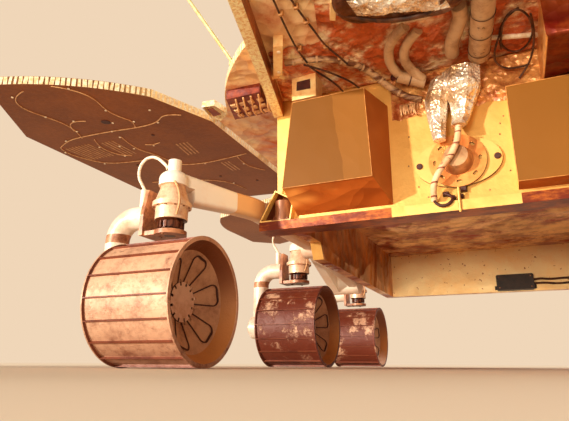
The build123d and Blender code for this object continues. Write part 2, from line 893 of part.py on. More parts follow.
def make_sensors():
    """Black sensor box on the rear wall inside the cavity, and the pair of eyes behind the body."""
    with BuildPart() as belly:
        with BuildSketch(Plane.XZ.offset(-body_rear + skirt_thickness)):
            with Locations((belly_sensor_x, belly_sensor_z)):
                RectangleRounded(belly_sensor_width, belly_sensor_height, 6)
        extrude(amount=belly_sensor_depth)
        with BuildSketch(Plane.XZ.offset(-body_rear + skirt_thickness)):
            with Locations((belly_sensor_x, skirt_z + belly_sensor_height / 4)):
                Rectangle(belly_sensor_width + 16, belly_sensor_height / 4)
        extrude(amount=belly_sensor_depth / 6)
    save(belly.part, "belly_sensor")
    with BuildPart() as rear:
        with BuildSketch(Plane.XZ.offset(-body_rear)):
            with Locations((0, rear_sensor_z)):
                RectangleRounded(rear_sensor_width, rear_sensor_height, 10)
        extrude(amount=-rear_sensor_depth)
    save(rear.part, "rear_sensor")


def make_canister():
    """Dark foil-wrapped canister under the deck's point, with rounded ends and lower edge."""
    with BuildPart() as canister:
        with BuildSketch(Plane.XY.offset(canister_bottom)):
            with Locations((canister_x, canister_y)):
                SlotOverall(canister_length, canister_width, rotation=canister_turn)
        extrude(amount=deck_z - canister_bottom)
        fillet(canister.faces().sort_by(Axis.Z)[0].edges(), canister_edge)
    save(canister.part, "mast_canister")


# Boxes under the deck: the X and Y of their corners, and their height
BOXES = (
    (((-293, -755), (-274, -750), (-319, -652), (-338, -657)), box_height),
    (((-318, -600), (-260, -602), (-260, -560), (-318, -558)), panel_box_height),
    (((-487, -606), (-519, -505), (-424, -505), (-398, -606)), tray_height),
)


def make_boxes():
    """Three small electronics boxes hung under the front of the deck."""
    with BuildPart() as boxes:
        for corners, height in BOXES:
            with BuildSketch(Plane.XY.offset(deck_z - height)):
                with BuildLine():
                    Polyline(*corners, close=True)
                make_face()
            extrude(amount=height)
    save(boxes.part, "junction_boxes")


def add_tube(points, radius):
    """Round tube along a route whose corners are as large as their shorter run allows."""
    corners = [Vector(*p) for p in points]
    bends = []
    for before, corner, after in zip(corners, corners[1:], corners[2:]):
        turn = (corner - before).get_angle(after - corner)
        run = min((corner - before).length, (after - corner).length)
        bends.append(bend_share * run / tan(radians(turn / 2)))
    with BuildLine() as route:
        FilletPolyline(*corners, radius=bends)
    with BuildSketch(Plane(origin=route.line @ 0, z_dir=route.line % 0)) as section:
        Circle(radius)
    sweep(section.sketch, path=route.line)


def make_cable_work():
    """Hoses and harness under the deck, the foil-wrapped joint they meet in, and the strand below it."""
    main_z = deck_z - seat_gap - hose_radius
    branch_z = deck_z - seat_gap - branch_radius
    twin_z = deck_z - seat_gap - twin_radius
    harness_z = deck_z - seat_gap - harness_radius
    with BuildPart() as conduits:
        add_tube(((107, -880, main_z), (99, -720, main_z), (86, -610, main_z), (80, -556, main_z)), hose_radius)
        add_tube(
            ((57, -722, branch_z), (59, -690, branch_z), (46, -650, branch_z), (32, -605, branch_z), (30, -572, branch_z)),
            branch_radius,
        )
        add_tube(
            (
                (-42, -694, twin_z),
                (-64, -676, twin_z),
                (-88, -638, twin_z),
                (-97, -590, twin_z - 4),
                (-84, -550, twin_z - 18),
                (-44, -532, twin_z - 32),
            ),
            twin_radius,
        )
        add_tube(
            (
                (-22, -672, twin_z),
                (-40, -652, twin_z),
                (-60, -620, twin_z),
                (-66, -584, twin_z - 5),
                (-54, -554, twin_z - 16),
                (-36, -538, twin_z - 30),
            ),
            twin_radius,
        )
        add_tube(((-88, -552, twin_z - 18), (-62, -540, twin_z - 25), (-34, -530, twin_z - 34)), sleeve_radius)
    save(conduits.part, "conduits")
    with BuildPart() as harness:
        add_tube(
            (
                (-305, -668, harness_z),
                (-262, -664, harness_z),
                (-212, -645, harness_z),
                (-172, -612, harness_z),
                (-142, -566, harness_z - 4),
                (-108, -530, harness_z - 34),
                (-74, -516, harness_z - 56),
                (-46, -512, harness_z - 66),
            ),
            harness_radius,
        )
    save(harness.part, "harness")
    # The two legs of the foil-wrapped joint: height, X, radius and distance from the wall of each section
    legs = (
        ((596, 42, 38, 0), (560, 40, 36, 0), (530, 37, 24, 2), (494, 31, 17, 12), (474, 26, 14, 32)),
        ((594, 4, 25, 0), (548, -14, 24, 0), (505, -16, 19, 6), (452, -14, 12, 24)),
    )
    with BuildPart() as wrap:
        for sections in legs:
            for height, x, radius, stand_off in sections:
                with BuildSketch(Plane.XY.offset(height)):
                    with Locations((x, body_front - seat_gap - stand_off - radius)):
                        RegularPolygon(radius, 8, major_radius=False, rotation=22.5)
            loft(ruled=True)
    save(wrap.part, "foil_wrap")
    strand_y = shoulder_face - ring_thickness - cone_reach - bearing_gap - strand_radius
    low_y = shoulder_face - bearing_gap - strand_radius
    with BuildPart() as strand:
        add_tube(
            (
                (26, strand_y, 471),
                (22, strand_y, 440),
                (5, strand_y, 408),
                (-17, strand_y, 384),
                (-35, strand_y + 18, 358),
                (-37, low_y, shelf_z + moving_gap),
            ),
            strand_radius,
        )
    save(strand.part, "shoulder_strand")


def make_drive_cables():
    """Loop of cable over each wheel, from the arm's neck out to the gland on the fork."""
    # Distance outboard of the steering axis, and height, of each point of the loop
    loop = (
        (arm_neck_radius + lead_radius, 416),
        (36, 436),
        (60, 450),
        (84, 447),
        (97, 428),
        (96, 404),
        (gland_offset + 8, 386),
        (gland_offset, gland_top + moving_gap + bearing_gap),
    )
    with BuildPart() as cables:
        for side_name, side in SIDES:
            for axle_name, axle_y in AXLES:
                add_tube([(side * (wheel_track / 2 + out), axle_y, z) for out, z in loop], lead_radius)
    save(cables.part, "drive_cables")


def make_mast():
    """Column above the deck's point and the turning camera head on it."""
    collar_z = mast_top - head_collar
    with BuildPart() as column:
        with BuildSketch(upright_plane(0, mast_y)):
            with BuildLine():
                Polyline(
                    (0, deck_top),
                    (mast_flange_radius, deck_top),
                    (mast_flange_radius, deck_top + mast_flange_height),
                    (mast_root_radius, deck_top + mast_flange_height),
                    (mast_radius, deck_top + mast_root_height),
                    (mast_radius, collar_z),
                    (head_radius, collar_z),
                    (head_radius, mast_top),
                    (0, mast_top),
                    close=True,
                )
            make_face()
        revolve(axis=Axis((0, mast_y, 0), (0, 0, 1)))
    save(column.part, "mast_column")
    head_bottom = mast_top + bearing_gap
    lug_bottom = head_bottom + head_height
    lug_width = 20.0
    with BuildPart() as head:
        with BuildSketch(Plane.XY.offset(head_bottom)):
            with Locations((0, mast_y)):
                Circle(head_radius)
        extrude(amount=head_height)
        with BuildSketch(side_plane(-lug_width / 2)):
            with Locations((mast_y, (lug_bottom + tilt_z) / 2)):
                Rectangle(2 * tilt_boss_radius, tilt_z - lug_bottom)
            with Locations((mast_y, tilt_z)):
                Circle(tilt_boss_radius)
                Circle(tilt_pin_radius + running_fit, mode=Mode.SUBTRACT)
        extrude(amount=lug_width)
    save(head.part, "mast_head")
    bar_start = lug_width / 2 + moving_gap
    eye_x = bar_half_width - eye_width / 2
    with BuildPart() as bar:
        for side_name, side in SIDES:
            with BuildSketch(side_plane(side * bar_start)):
                with Locations((mast_y, tilt_z)):
                    Circle(tilt_boss_radius)
            extrude(amount=side * (bar_half_width - bar_start))
            with BuildSketch(Plane.XZ.offset(-mast_y + eye_depth / 2)):
                with Locations((side * eye_x, tilt_z)):
                    RectangleRounded(eye_width, eye_height, 6)
            extrude(amount=-eye_depth)
            with BuildSketch(Plane.XZ.offset(-mast_y + eye_depth / 2)):
                with Locations((side * eye_x, tilt_z)):
                    Circle(lens_radius)
            extrude(amount=lens_reach)
        with BuildSketch(side_plane(-bar_start)):
            with Locations((mast_y, tilt_z)):
                Circle(tilt_pin_radius)
        extrude(amount=2 * bar_start)
    save(bar.part, "camera_bar")


def make_dish_antenna():
    """Dish antenna with its post and its yoke, which turns on the post and lets the dish tilt."""
    head_z = antenna_post_top - antenna_head_height
    with BuildPart() as post:
        with BuildSketch(upright_plane(antenna_x, antenna_y)):
            with BuildLine():
                Polyline(
                    (0, deck_top),
                    (antenna_foot_radius, deck_top),
                    (antenna_foot_radius, deck_top + 10),
                    (antenna_post_radius, deck_top + 22),
                    (antenna_post_radius, head_z),
                    (antenna_head_radius, head_z + 6),
                    (antenna_head_radius, antenna_post_top),
                    (0, antenna_post_top),
                    close=True,
                )
            make_face()
        revolve(axis=Axis((antenna_x, antenna_y, 0), (0, 0, 1)))
    save(post.part, "antenna_post")
    yoke_bottom = antenna_post_top + bearing_gap
    pivot_z = yoke_bottom + yoke_height
    cheek_x = yoke_width / 2 - yoke_cheek
    with BuildPart() as yoke:
        with BuildSketch(Plane.XY.offset(yoke_bottom)):
            with Locations((antenna_x, antenna_y)):
                RectangleRounded(yoke_width, yoke_depth, 10)
        extrude(amount=yoke_base)
        for side_name, side in SIDES:
            with BuildSketch(side_plane(antenna_x + side * cheek_x)):
                with Locations((antenna_y, (yoke_bottom + pivot_z) / 2)):
                    Rectangle(2 * yoke_boss_radius, yoke_height)
                with Locations((antenna_y, pivot_z)):
                    Circle(yoke_boss_radius)
                    Circle(dish_pin_radius + running_fit, mode=Mode.SUBTRACT)
            extrude(amount=side * yoke_cheek)
    save(yoke.part, "antenna_yoke")
    hub_y = antenna_y - dish_offset
    rim_y = hub_y - dish_sag
    with BuildPart() as dish:
        with BuildSketch(Plane(origin=(antenna_x, 0, pivot_z), x_dir=(1, 0, 0), z_dir=(0, 0, 1))):
            with BuildLine():
                Polyline(
                    (0, hub_y),
                    (dish_radius * 0.5, hub_y - dish_sag * 0.25),
                    (dish_radius, rim_y),
                    (dish_radius, rim_y + dish_wall),
                    (dish_radius * 0.5, hub_y - dish_sag * 0.25 + dish_wall),
                    (0, hub_y + dish_wall),
                    close=True,
                )
            make_face()
        revolve(axis=Axis((antenna_x, hub_y, pivot_z), (0, 1, 0)))
        with BuildSketch(Plane.XZ.offset(-hub_y)):
            with Locations((antenna_x, pivot_z)):
                Rectangle(2 * (cheek_x - moving_gap) - 4, 30)
        extrude(amount=-dish_offset - 16)
        with BuildSketch(side_plane(antenna_x - yoke_width / 2)):
            with Locations((antenna_y, pivot_z)):
                Circle(dish_pin_radius)
        extrude(amount=yoke_width)
    save(dish.part, "antenna_dish")


def make_fixed_antennas():
    """The low-gain tube on the deck, and the two slim rods that lean out from its front corners."""
    with BuildPart() as low_gain:
        with BuildSketch(Plane.XY.offset(deck_top)):
            with Locations((low_gain_x, low_gain_y)):
                Circle(low_gain_foot)
        extrude(amount=low_gain_foot_height)
        with BuildSketch(Plane.XY.offset(deck_top + low_gain_foot_height)):
            with Locations((low_gain_x, low_gain_y)):
                Circle(low_gain_radius)
        extrude(amount=low_gain_top - deck_top - low_gain_foot_height)
        fillet(low_gain.edges().filter_by(GeomType.CIRCLE).sort_by(Axis.Z)[-1], low_gain_radius * 0.8)
    save(low_gain.part, "low_gain_antenna")
    base_x = deck_half_width - rod_inset
    with BuildPart() as rods:
        for side_name, side in SIDES:
            lean = Vector(side * rod_lean[0], rod_lean[1], rod_lean[2]).normalized()
            with BuildSketch(Plane.XY.offset(deck_top)):
                with Locations((side * base_x, rod_y + rod_clamp / 2)):
                    RectangleRounded(rod_clamp, rod_clamp, 4)
            extrude(amount=rod_clamp / 2)
            foot = Vector(side * base_x, rod_y, deck_top) + lean * rod_radius
            with BuildSketch(Plane(origin=foot, z_dir=lean)) as section:
                Circle(rod_radius)
            extrude(section.sketch, amount=rod_length)
    save(rods.part, "rod_antenna")


make_body()
make_flange()
make_hood("hood_right", -1, hood_reach, hood_base, hood_face)
make_hood("hood_left", 1, low_hood_reach, low_hood_base, low_hood_face)
make_bay()
make_shoulder()
make_rails()
make_deck()
make_sensors()
make_canister()
make_boxes()
make_cable_work()
make_drive_cables()
make_mast()
make_dish_antenna()
make_fixed_antennas()
for side_name, side in SIDES:
    make_corner(f"corner_fitting_{side_name}", side)
    make_rocker(f"rocker_{side_name}", side)
    make_bogie(f"bogie_{side_name}", side)
    make_steering_drives(f"steering_drives_{side_name}", side)
    for wing in WINGS:
        make_wing(f"wing_{wing[0]}_{side_name}", side, wing)
    for axle_name, axle_y in AXLES:
        make_wheel(f"wheel_{axle_name}_{side_name}", side, axle_y)
        make_drive(f"drive_{axle_name}_{side_name}", side, axle_y)
        make_fork(f"fork_{axle_name}_{side_name}", side, axle_y)
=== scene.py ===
# Looks of the six-wheeled planetary rover, in metres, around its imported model.
# +X is the rover's left, -Y its front end and +Z up; the ground is at Z = 0.
import math
import random

import bmesh
import bpy
from mathutils import Matrix, Vector, noise


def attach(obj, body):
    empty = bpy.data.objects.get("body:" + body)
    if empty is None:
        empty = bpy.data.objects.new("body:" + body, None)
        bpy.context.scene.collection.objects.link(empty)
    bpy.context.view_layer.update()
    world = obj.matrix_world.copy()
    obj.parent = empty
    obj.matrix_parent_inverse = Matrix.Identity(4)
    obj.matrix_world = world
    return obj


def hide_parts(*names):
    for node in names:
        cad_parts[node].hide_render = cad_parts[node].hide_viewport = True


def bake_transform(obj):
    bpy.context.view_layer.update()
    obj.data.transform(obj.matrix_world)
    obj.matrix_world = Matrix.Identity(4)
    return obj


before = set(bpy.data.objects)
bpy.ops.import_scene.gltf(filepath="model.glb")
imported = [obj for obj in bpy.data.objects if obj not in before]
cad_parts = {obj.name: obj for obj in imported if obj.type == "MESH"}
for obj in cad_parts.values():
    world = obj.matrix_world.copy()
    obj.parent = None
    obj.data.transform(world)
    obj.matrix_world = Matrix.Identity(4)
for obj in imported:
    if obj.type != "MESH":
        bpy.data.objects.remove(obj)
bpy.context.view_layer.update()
scene = bpy.context.scene


# The camera
# It stands at ground level in front of the rover's right wheel and looks up past it.
camera_place = Vector((0.084, -1.544, 0.009))
camera_turn = math.radians(23.93)
camera_rise = math.radians(16.84)
camera_roll = math.radians(0.3)
flat = math.cos(camera_rise)
ahead = Vector((-math.sin(camera_turn) * flat, math.cos(camera_turn) * flat, 0))
ahead.z = math.sin(camera_rise)
right = Vector((math.cos(camera_turn), math.sin(camera_turn), 0))
above = right.cross(ahead)
level = Matrix((right, above, -ahead)).transposed().to_4x4()
camera = bpy.data.objects.new("camera", bpy.data.cameras.new("camera"))
camera.data.sensor_width = 36
camera.data.lens = 32.14
camera.data.clip_start = 0.01
roll = Matrix.Rotation(camera_roll, 4, "Z")
camera.matrix_world = Matrix.Translation(camera_place) @ level @ roll
scene.collection.objects.link(camera)
scene.camera = camera
scene.view_settings.view_transform = "Standard"


# Body
# A box of insulation wrapped in gold foil, which is tacked down along its edges. The foil is taut
# and bright on the front wall, crumpled and brown on the sides with painted shade in its folds, and
# patchy under the belly, where its pale patches are painted light. The rear wall seen inside the
# belly is painted brighter, as painted bounce light.
class Shade:
    """One socket of a material's nodes. Sums and products of shades add Math nodes."""

    def __init__(self, tree, socket=None):
        self.tree = tree
        self.socket = socket

    def node(self, kind, settings=None, output=0, **inputs):
        """Adds a node of a kind, sets it up, then values or links its sockets by name or number."""
        made = self.tree.nodes.new("ShaderNode" + kind)
        for key, value in (settings or {}).items():
            setattr(made, key, value)
        for key, value in inputs.items():
            numbered = key.startswith("in") and key[2:].isdigit()
            socket = made.inputs[int(key[2:]) if numbered else key]
            if isinstance(value, Shade):
                self.tree.links.new(value.socket, socket)
            elif socket.type == "RGBA":
                socket.default_value = (*paint(*value), 1)
            else:
                socket.default_value = value
        return Shade(self.tree, made.outputs[output])

    def maths(self, operation, other=0, swap=False):
        first, second = (other, self) if swap else (self, other)
        return self.node("Math", {"operation": operation}, in0=first, in1=second)

    def __add__(self, other):
        return self.maths("ADD", other)

    __radd__ = __add__

    def __mul__(self, other):
        return self.maths("MULTIPLY", other)

    __rmul__ = __mul__

    def __sub__(self, other):
        return self.maths("SUBTRACT", other)

    def __rsub__(self, other):
        return self.maths("SUBTRACT", other, swap=True)

    def __gt__(self, other):
        return self.maths("GREATER_THAN", other)

    def __lt__(self, other):
        return self.maths("LESS_THAN", other)

    def __abs__(self):
        return self.maths("ABSOLUTE")

    def __mod__(self, other):
        return self.maths("FLOORED_MODULO", other)

    def root(self):
        return self.maths("SQRT")

    def part(self, axis):
        """One coordinate of a vector."""
        return self.node("SeparateXYZ", None, "XYZ".index(axis), in0=self)

    def mix(self, low, high):
        """A colour from low to high, by this value. Plain colours are 8-bit screen values."""
        return self.node("Mix", {"data_type": "RGBA"}, 2, in0=self, in6=low, in7=high)

    def band(self, start=0.3, end=0.7):
        """0 below start and 1 above end, smooth between."""
        limits = {"From Min": start, "From Max": end}
        return self.node("MapRange", {"interpolation_type": "SMOOTHSTEP"}, Value=self, **limits)

    def place(self):
        """The point of the piece, in its frame at rest."""
        return self.node("TexCoord", None, 3)

    def at(self, axis):
        """One coordinate of the point of the piece at rest."""
        return self.place().part(axis)

    def facing(self, way):
        """How far the surface faces a way at rest, such as "-Y", from -1 to 1."""
        along = self.node("TexCoord", None, 1).part(way[-1])
        return along * -1 if way[0] == "-" else along

    def stretch(self, x, y, z):
        """A point with each coordinate times a number, for grain that runs one way."""
        return self.node("VectorMath", {"operation": "MULTIPLY"}, in0=self, in1=(x, y, z))

    def cloud(self, scale, detail=4, rough=0.6, at=None):
        """Soft noise from 0 to 1."""
        return self.node(
            "TexNoise", None, 0, Vector=at or self.place(), Scale=scale, Detail=detail,
            Roughness=rough
        )

    def crumple(self, scale):
        """Height of crumpled foil: flat facets between sharp folds, at two sizes."""
        drift = self.node("TexNoise", None, 1, Vector=self.place(), Scale=scale * 0.5, Detail=2)
        bent = self.node(
            "VectorMath", {"operation": "MULTIPLY_ADD"}, in0=drift, in1=(0.9 / scale,) * 3,
            in2=self.place()
        )
        large = self.node("TexVoronoi", {"feature": "F1"}, 0, Vector=bent, Scale=scale)
        small = self.node("TexVoronoi", {"feature": "F1"}, 0, Vector=bent, Scale=scale * 2.6)
        return large + small * 0.4


def paint(red, green, blue):
    """A colour from its 8-bit screen values."""
    return tuple(
        ((c / 255 + 0.055) / 1.055) ** 2.4 if c > 10 else c / 3294.6 for c in (red, green, blue)
    )


def new_finish(name, roughness, metallic=0, coat=0, specular=0.5):
    """A material with a plain shader to start from: returns the material and a shade in it."""
    material = bpy.data.materials.new(name)
    material.use_nodes = True
    inputs = material.node_tree.nodes["Principled BSDF"].inputs
    inputs["Roughness"].default_value = roughness
    inputs["Metallic"].default_value = metallic
    inputs["Coat Weight"].default_value = coat
    inputs["Specular IOR Level"].default_value = specular
    return material, Shade(material.node_tree)


def feed(shade, socket="Base Color"):
    """Joins a shade to one of the sockets of its material's shader."""
    shade.tree.links.new(shade.socket, shade.tree.nodes["Principled BSDF"].inputs[socket])


def emboss(height, strength, distance):
    """Raises the surface of the shade's material by a height."""
    bump = height.node("Bump", None, 0, Strength=strength, Distance=distance, Height=height)
    feed(bump, "Normal")


def dress(material, *nodes):
    """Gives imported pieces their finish."""
    for node in nodes:
        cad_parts[node].data.materials.clear()
        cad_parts[node].data.materials.append(material)


body_foil, s = new_finish("body_foil", 0.36, 0.45)
front = s.facing("-Y").band(0.4, 0.7)
down = s.facing("-Z").band(0.4, 0.7)
# Random stains, plus painted shade along the foil's folds on the sides.
stain_and_crease_shade = s.cloud(6, 6, 0.7).band(0.36, 0.64) * 0.5 + s.crumple(8).band(0.2, 1) * 0.5
side_tone = stain_and_crease_shade.mix((236, 156, 76), (128, 52, 14))
# Pale patches under the belly are painted light on the dark red foil.
light_patch = s.cloud(8, 8, 0.75).band(0.4, 0.6)
belly_tone = light_patch.mix((156, 46, 18), (255, 204, 140))
wall_tone = s.cloud(9, 5, 0.6).band().mix((226, 168, 84), (238, 186, 102))
speck = s.cloud(60, 3, 0.6).band(0.66, 0.7)
# The rear wall inside the belly is painted brighter, as painted bounce light; its specks are real.
far_wall_bounce_tone = s.cloud(7, 6, 0.75).band().mix((255, 212, 140), (255, 232, 176))
far_wall_bounce_tone = speck.mix(far_wall_bounce_tone, (170, 96, 50))
far_wall = (s.at("Y") > 0.55) * front
tone = down.mix(front.mix(side_tone, wall_tone), belly_tone)
feed(far_wall.mix(tone, far_wall_bounce_tone))
relief = s.crumple(8) * (1 - front * 0.9) + s.cloud(120, 2) * front * 0.02
emboss(relief, 0.9, 0.02)
feed(front * 0.12 + 0.3, "Roughness")
dress(body_foil, "body")


# Deck
# A flat honeycomb panel bolted on the body's rim. Dark blue solar cells are glued to its top, and
# orange foil in loose folds to its underside, with painted patches of light and painted shade along
# its folds.
cell_width = 0.042
cell_length = 0.082
seam_half = 0.0006


def solar_cells(s):
    """Dark blue cells between thin pale seams."""
    across = abs(s.at("X") % cell_width - cell_width / 2) < seam_half
    along = abs(s.at("Y") % cell_length - cell_length / 2) < seam_half
    blue = s.cloud(3).band().mix((20, 22, 48), (36, 34, 66))
    return (across + along).mix(blue, (150, 140, 120))


deck_skin, s = new_finish("deck_skin", 0.4, 0.2)
below = s.facing("-Z").band(0.4, 0.7)
top = s.facing("Z").band(0.4, 0.7)
tone = s.cloud(5, 7, 0.75).band(0.38, 0.62)
# Under the deck: painted patches of light, and painted shade along the foil's folds.
foil_light_and_fold_shade = (tone * 0.6 + s.crumple(11).band(0.9, 0.2) * 0.4).mix((206, 104, 52), (255, 226, 170))
edge_tone = s.cloud(160, 2).band(0.4, 0.6).mix((196, 150, 92), (246, 216, 156))
feed(top.mix(below.mix(edge_tone, foil_light_and_fold_shade), solar_cells(s)))
emboss(s.crumple(11) * below, 1, 0.02)
feed(top * 0.1 + 0.1, "Metallic")
feed(top * -0.18 + 0.4, "Roughness")
dress(deck_skin, "deck")


# Loose foil
# Pinkish orange film, crumpled in sharp folds and tacked along its edges, under the deck's front
# and over the top of the front wall. Under the deck its pale patches are painted light and its
# folds carry painted shade.
def add_piece(name, mesh, material, body):
    """Links a mesh or curve as a piece of the object that rides on a body."""
    piece = bpy.data.objects.new(name, mesh)
    mesh.materials.append(material)
    scene.collection.objects.link(piece)
    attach(piece, body)


def finish_mesh(shape, name, material, body):
    """Turns a built shape into a piece that rides on a body."""
    bmesh.ops.recalc_face_normals(shape, faces=shape.faces)
    mesh = bpy.data.meshes.new(name)
    shape.to_mesh(mesh)
    shape.free()
    add_piece(name, mesh, material, body)


def add_foil(name, corners, lift, fold, material, ragged=0):
    """Crumpled sheet between four corners, in sharp folds about fold apart, lift high at most.

    It lies flush along its edges. The edge from its third corner to its fourth is torn in waves.
    """
    start, turn, far, end = [Vector(corner) for corner in corners]
    out = (turn - start).cross(end - start).normalized()
    across = max(4, round((turn - start).length / fold * 6))
    along = max(4, round((end - start).length / fold * 6))
    shape = bmesh.new()
    grid = []
    for j in range(along + 1):
        line = []
        for i in range(across + 1):
            u = i / across
            tear = 1 - ragged * (0.5 + 0.5 * noise.turbulence(Vector((u * 7, 3.1, 0)), 4, False))
            v = j / along * tear
            point = start.lerp(turn, u).lerp(end.lerp(far, u), v)
            small = noise.voronoi(point / fold * 2.6)[0][0]
            ridge = noise.voronoi(point / fold)[0][0] + 0.4 * small
            edge = min(u, 1 - u, 4 * v, 1 - j / along) * 8
            line.append(shape.verts.new(point + out * (lift * min(1, ridge) * min(1, edge))))
        grid.append(line)
    for low, high in zip(grid, grid[1:]):
        for i in range(across):
            shape.faces.new((low[i], low[i + 1], high[i + 1], high[i]))
    finish_mesh(shape, name, material, "root")


under_deck = 0.6385
loose_foil, s = new_finish("loose_foil", 0.32, 0.2)
# Pale patches are painted light, and the folds carry painted shade.
tone = s.cloud(13, 6, 0.75).band(0.36, 0.64)
fold = s.crumple(17).band(0.9, 0.2)
feed((tone * 0.5 + fold * 0.5).band(0.2, 0.8).mix((196, 92, 44), (255, 236, 190)))
emboss(s.crumple(17) + s.crumple(40) * 0.3, 1, 0.014)
edge = ((-0.27, -0.5), (0.32, -0.5), (0.16, -0.9), (-0.16, -0.9))
edge = [(x, y, under_deck) for x, y in edge]
add_foil("ceiling_foil", edge, 0.006, 0.055, loose_foil)
edge = ((-0.38, -0.505), (-0.12, -0.505), (-0.12, -0.72), (-0.325, -0.72))
edge = [(x, y, under_deck) for x, y in edge]
add_foil("corner_foil", edge, 0.005, 0.045, loose_foil, ragged=0.15)
wall_foil, s = new_finish("wall_foil", 0.32, 0.25)
tone = s.cloud(9, 6, 0.75).band(0.36, 0.64)
feed(tone.mix((150, 54, 16), (255, 190, 112)))
emboss(s.crumple(22), 1, 0.012)
edge = ((-0.115, 0.637), (0.32, 0.637), (0.32, 0.505), (-0.115, 0.52))
edge = [(x, -0.5005, z) for x, z in edge]
add_foil("wall_foil", edge, -0.012, 0.042, wall_foil, ragged=0.3)


# Wings
# Honeycomb panels hinged along the deck's sides, with cells on top and brown sheet below. Under
# each front one, wiring runs over white tie dots and strips of heater film are glued on.
def smooth_curve(name, routes, steps):
    """A thin curve with a smooth line for each route of points."""
    curve = bpy.data.curves.new(name, "CURVE")
    curve.dimensions = "3D"
    curve.resolution_u = steps
    curve.use_fill_caps = True
    for route in routes:
        spline = curve.splines.new("NURBS")
        spline.points.add(len(route) - 1)
        for point, place in zip(spline.points, route):
            point.co = (*place, 1)
        spline.order_u = 3
        spline.use_endpoint_u = True
    return curve


def add_wires(name, routes, radius, material, body="root"):
    """Smooth round wires, one for each route of points."""
    curve = smooth_curve(name, routes, 6)
    curve.bevel_depth = radius
    curve.bevel_resolution = 2
    add_piece(name, curve, material, body)


def add_bolts(name, places, radius, material, edges=6, height=0.7, body="root"):
    """Chamfered screw heads or studs. Each place is a point and the way its head faces."""
    shape = bmesh.new()
    for point, way in places:
        turn = Vector((0, 0, 1)).rotation_difference(Vector(way)).to_matrix().to_4x4()
        turn.translation = Vector(point)
        rings = []
        for lift, reach in ((0, 1), (0.7 * height, 1), (height, 0.8)):
            ring = []
            for corner in range(edges):
                angle = math.tau * corner / edges
                across, along = math.cos(angle) * radius, math.sin(angle) * radius
                spot = Vector((across * reach, along * reach, lift * radius))
                ring.append(shape.verts.new(turn @ spot))
            rings.append(ring)
        for low, high in zip(rings, rings[1:]):
            for corner in range(edges):
                after = (corner + 1) % edges
                shape.faces.new((low[corner], low[after], high[after], high[corner]))
        shape.faces.new(rings[-1])
    finish_mesh(shape, name, material, body)


def add_slabs(name, outlines, lift, edge, material, body="root"):
    """Flat plates: outlines of points, raised along lift, with a chamfer round the top."""
    shape = bmesh.new()
    rise = Vector(lift)
    for outline in outlines:
        feet = [Vector(point) for point in outline]
        middle = sum(feet, Vector()) / len(feet)
        rings = []
        for share, inset in ((0, 0), (1 - edge / rise.length, 0), (1, edge)):
            ring = []
            for foot in feet:
                inward = (middle - foot).normalized() * inset
                ring.append(shape.verts.new(foot + rise * share + inward))
            rings.append(ring)
        for low, high in zip(rings, rings[1:]):
            for corner in range(len(feet)):
                after = (corner + 1) % len(feet)
                shape.faces.new((low[corner], low[after], high[after], high[corner]))
        shape.faces.new(rings[-1])
    finish_mesh(shape, name, material, body)


def mottled(name, roughness, low, high, scale, detail=4, metallic=0, coat=0, start=0.3, end=0.7):
    """A finish for small parts, whose colour drifts between two tones."""
    material, s = new_finish(name, roughness, metallic, coat)
    feed(s.cloud(scale, detail).band(start, end).mix(low, high))
    return material


sides = (("right", -1), ("left", 1))
wing_foot = 0.64
wing_skin, s = new_finish("wing_skin", 0.5, specular=0.3)
below = s.facing("-Z").band(0.4, 0.7)
top = s.facing("Z").band(0.4, 0.7)
inboard = (s.facing("-X") * s.at("X").maths("SIGN")).band(0.6, 0.9)
speckle = s.cloud(90, 4, 0.7).band(0.35, 0.75)
under_tone = (speckle * 0.4 + s.cloud(5, 5).band() * 0.6).mix((116, 56, 10), (146, 78, 22))
rim_tone = inboard.mix((120, 74, 36), (255, 222, 160))
feed(top.mix(below.mix(rim_tone, under_tone), solar_cells(s)))
emboss(speckle, 0.3, 0.001)
feed(top * -0.28 + 0.5, "Roughness")
wings = ("wing_front_right", "wing_front_left", "wing_rear_right", "wing_rear_left")
dress(wing_skin, *wings)
wire_sheath = mottled("wire_sheath", 0.5, (236, 190, 136), (190, 130, 84), 80)
strip_film = mottled("strip_film", 0.4, (150, 92, 40), (204, 146, 84), 70, metallic=0.2)
tie_white = mottled("tie_white", 0.4, (255, 242, 216), (226, 196, 156), 90)
rubber = mottled("rubber", 0.6, (52, 12, 6), (84, 30, 16), 60)
# Each wire's way under a wing, outwards and from front to back
wing_wires = (
    (
        (0.94, -0.8), (0.99, -0.79), (1.02, -0.74), (1, -0.68), (0.985, -0.63), (0.99, -0.58),
        (1.012, -0.538)
    ),
    (
        (0.86, -0.79), (0.83, -0.765), (0.806, -0.71), (0.825, -0.645), (0.818, -0.6),
        (0.8, -0.565), (0.82, -0.536)
    ),
    (
        (1.125, -0.512), (1.07, -0.543), (0.993, -0.546), (0.898, -0.541), (0.808, -0.53),
        (0.743, -0.535), (0.7, -0.57), (0.66, -0.545)
    ),
    ((0.92, -0.618), (0.95, -0.632), (0.985, -0.615), (0.995, -0.585)),
    ((1.125, -0.512), (1.138, -0.48), (1.128, -0.43), (1.09, -0.36), (1.01, -0.335), (0.93, -0.33)),
    ((0.985, -0.517), (1.01, -0.47), (1.005, -0.42), (0.985, -0.385), (0.96, -0.38)),
    (
        (0.9, -0.5), (0.92, -0.42), (0.89, -0.36), (0.88, -0.3), (0.87, -0.25), (0.784, -0.232),
        (0.678, -0.242), (0.622, -0.25)
    ),
    ((0.66, -0.24), (0.668, -0.18), (0.655, -0.13), (0.63, -0.1)),
    ((1.06, -0.15), (0.96, -0.13), (0.85, -0.09), (0.79, -0.03), (0.78, 0.05)),
    ((0.87, -0.43), (0.85, -0.415), (0.82, -0.425)),
)
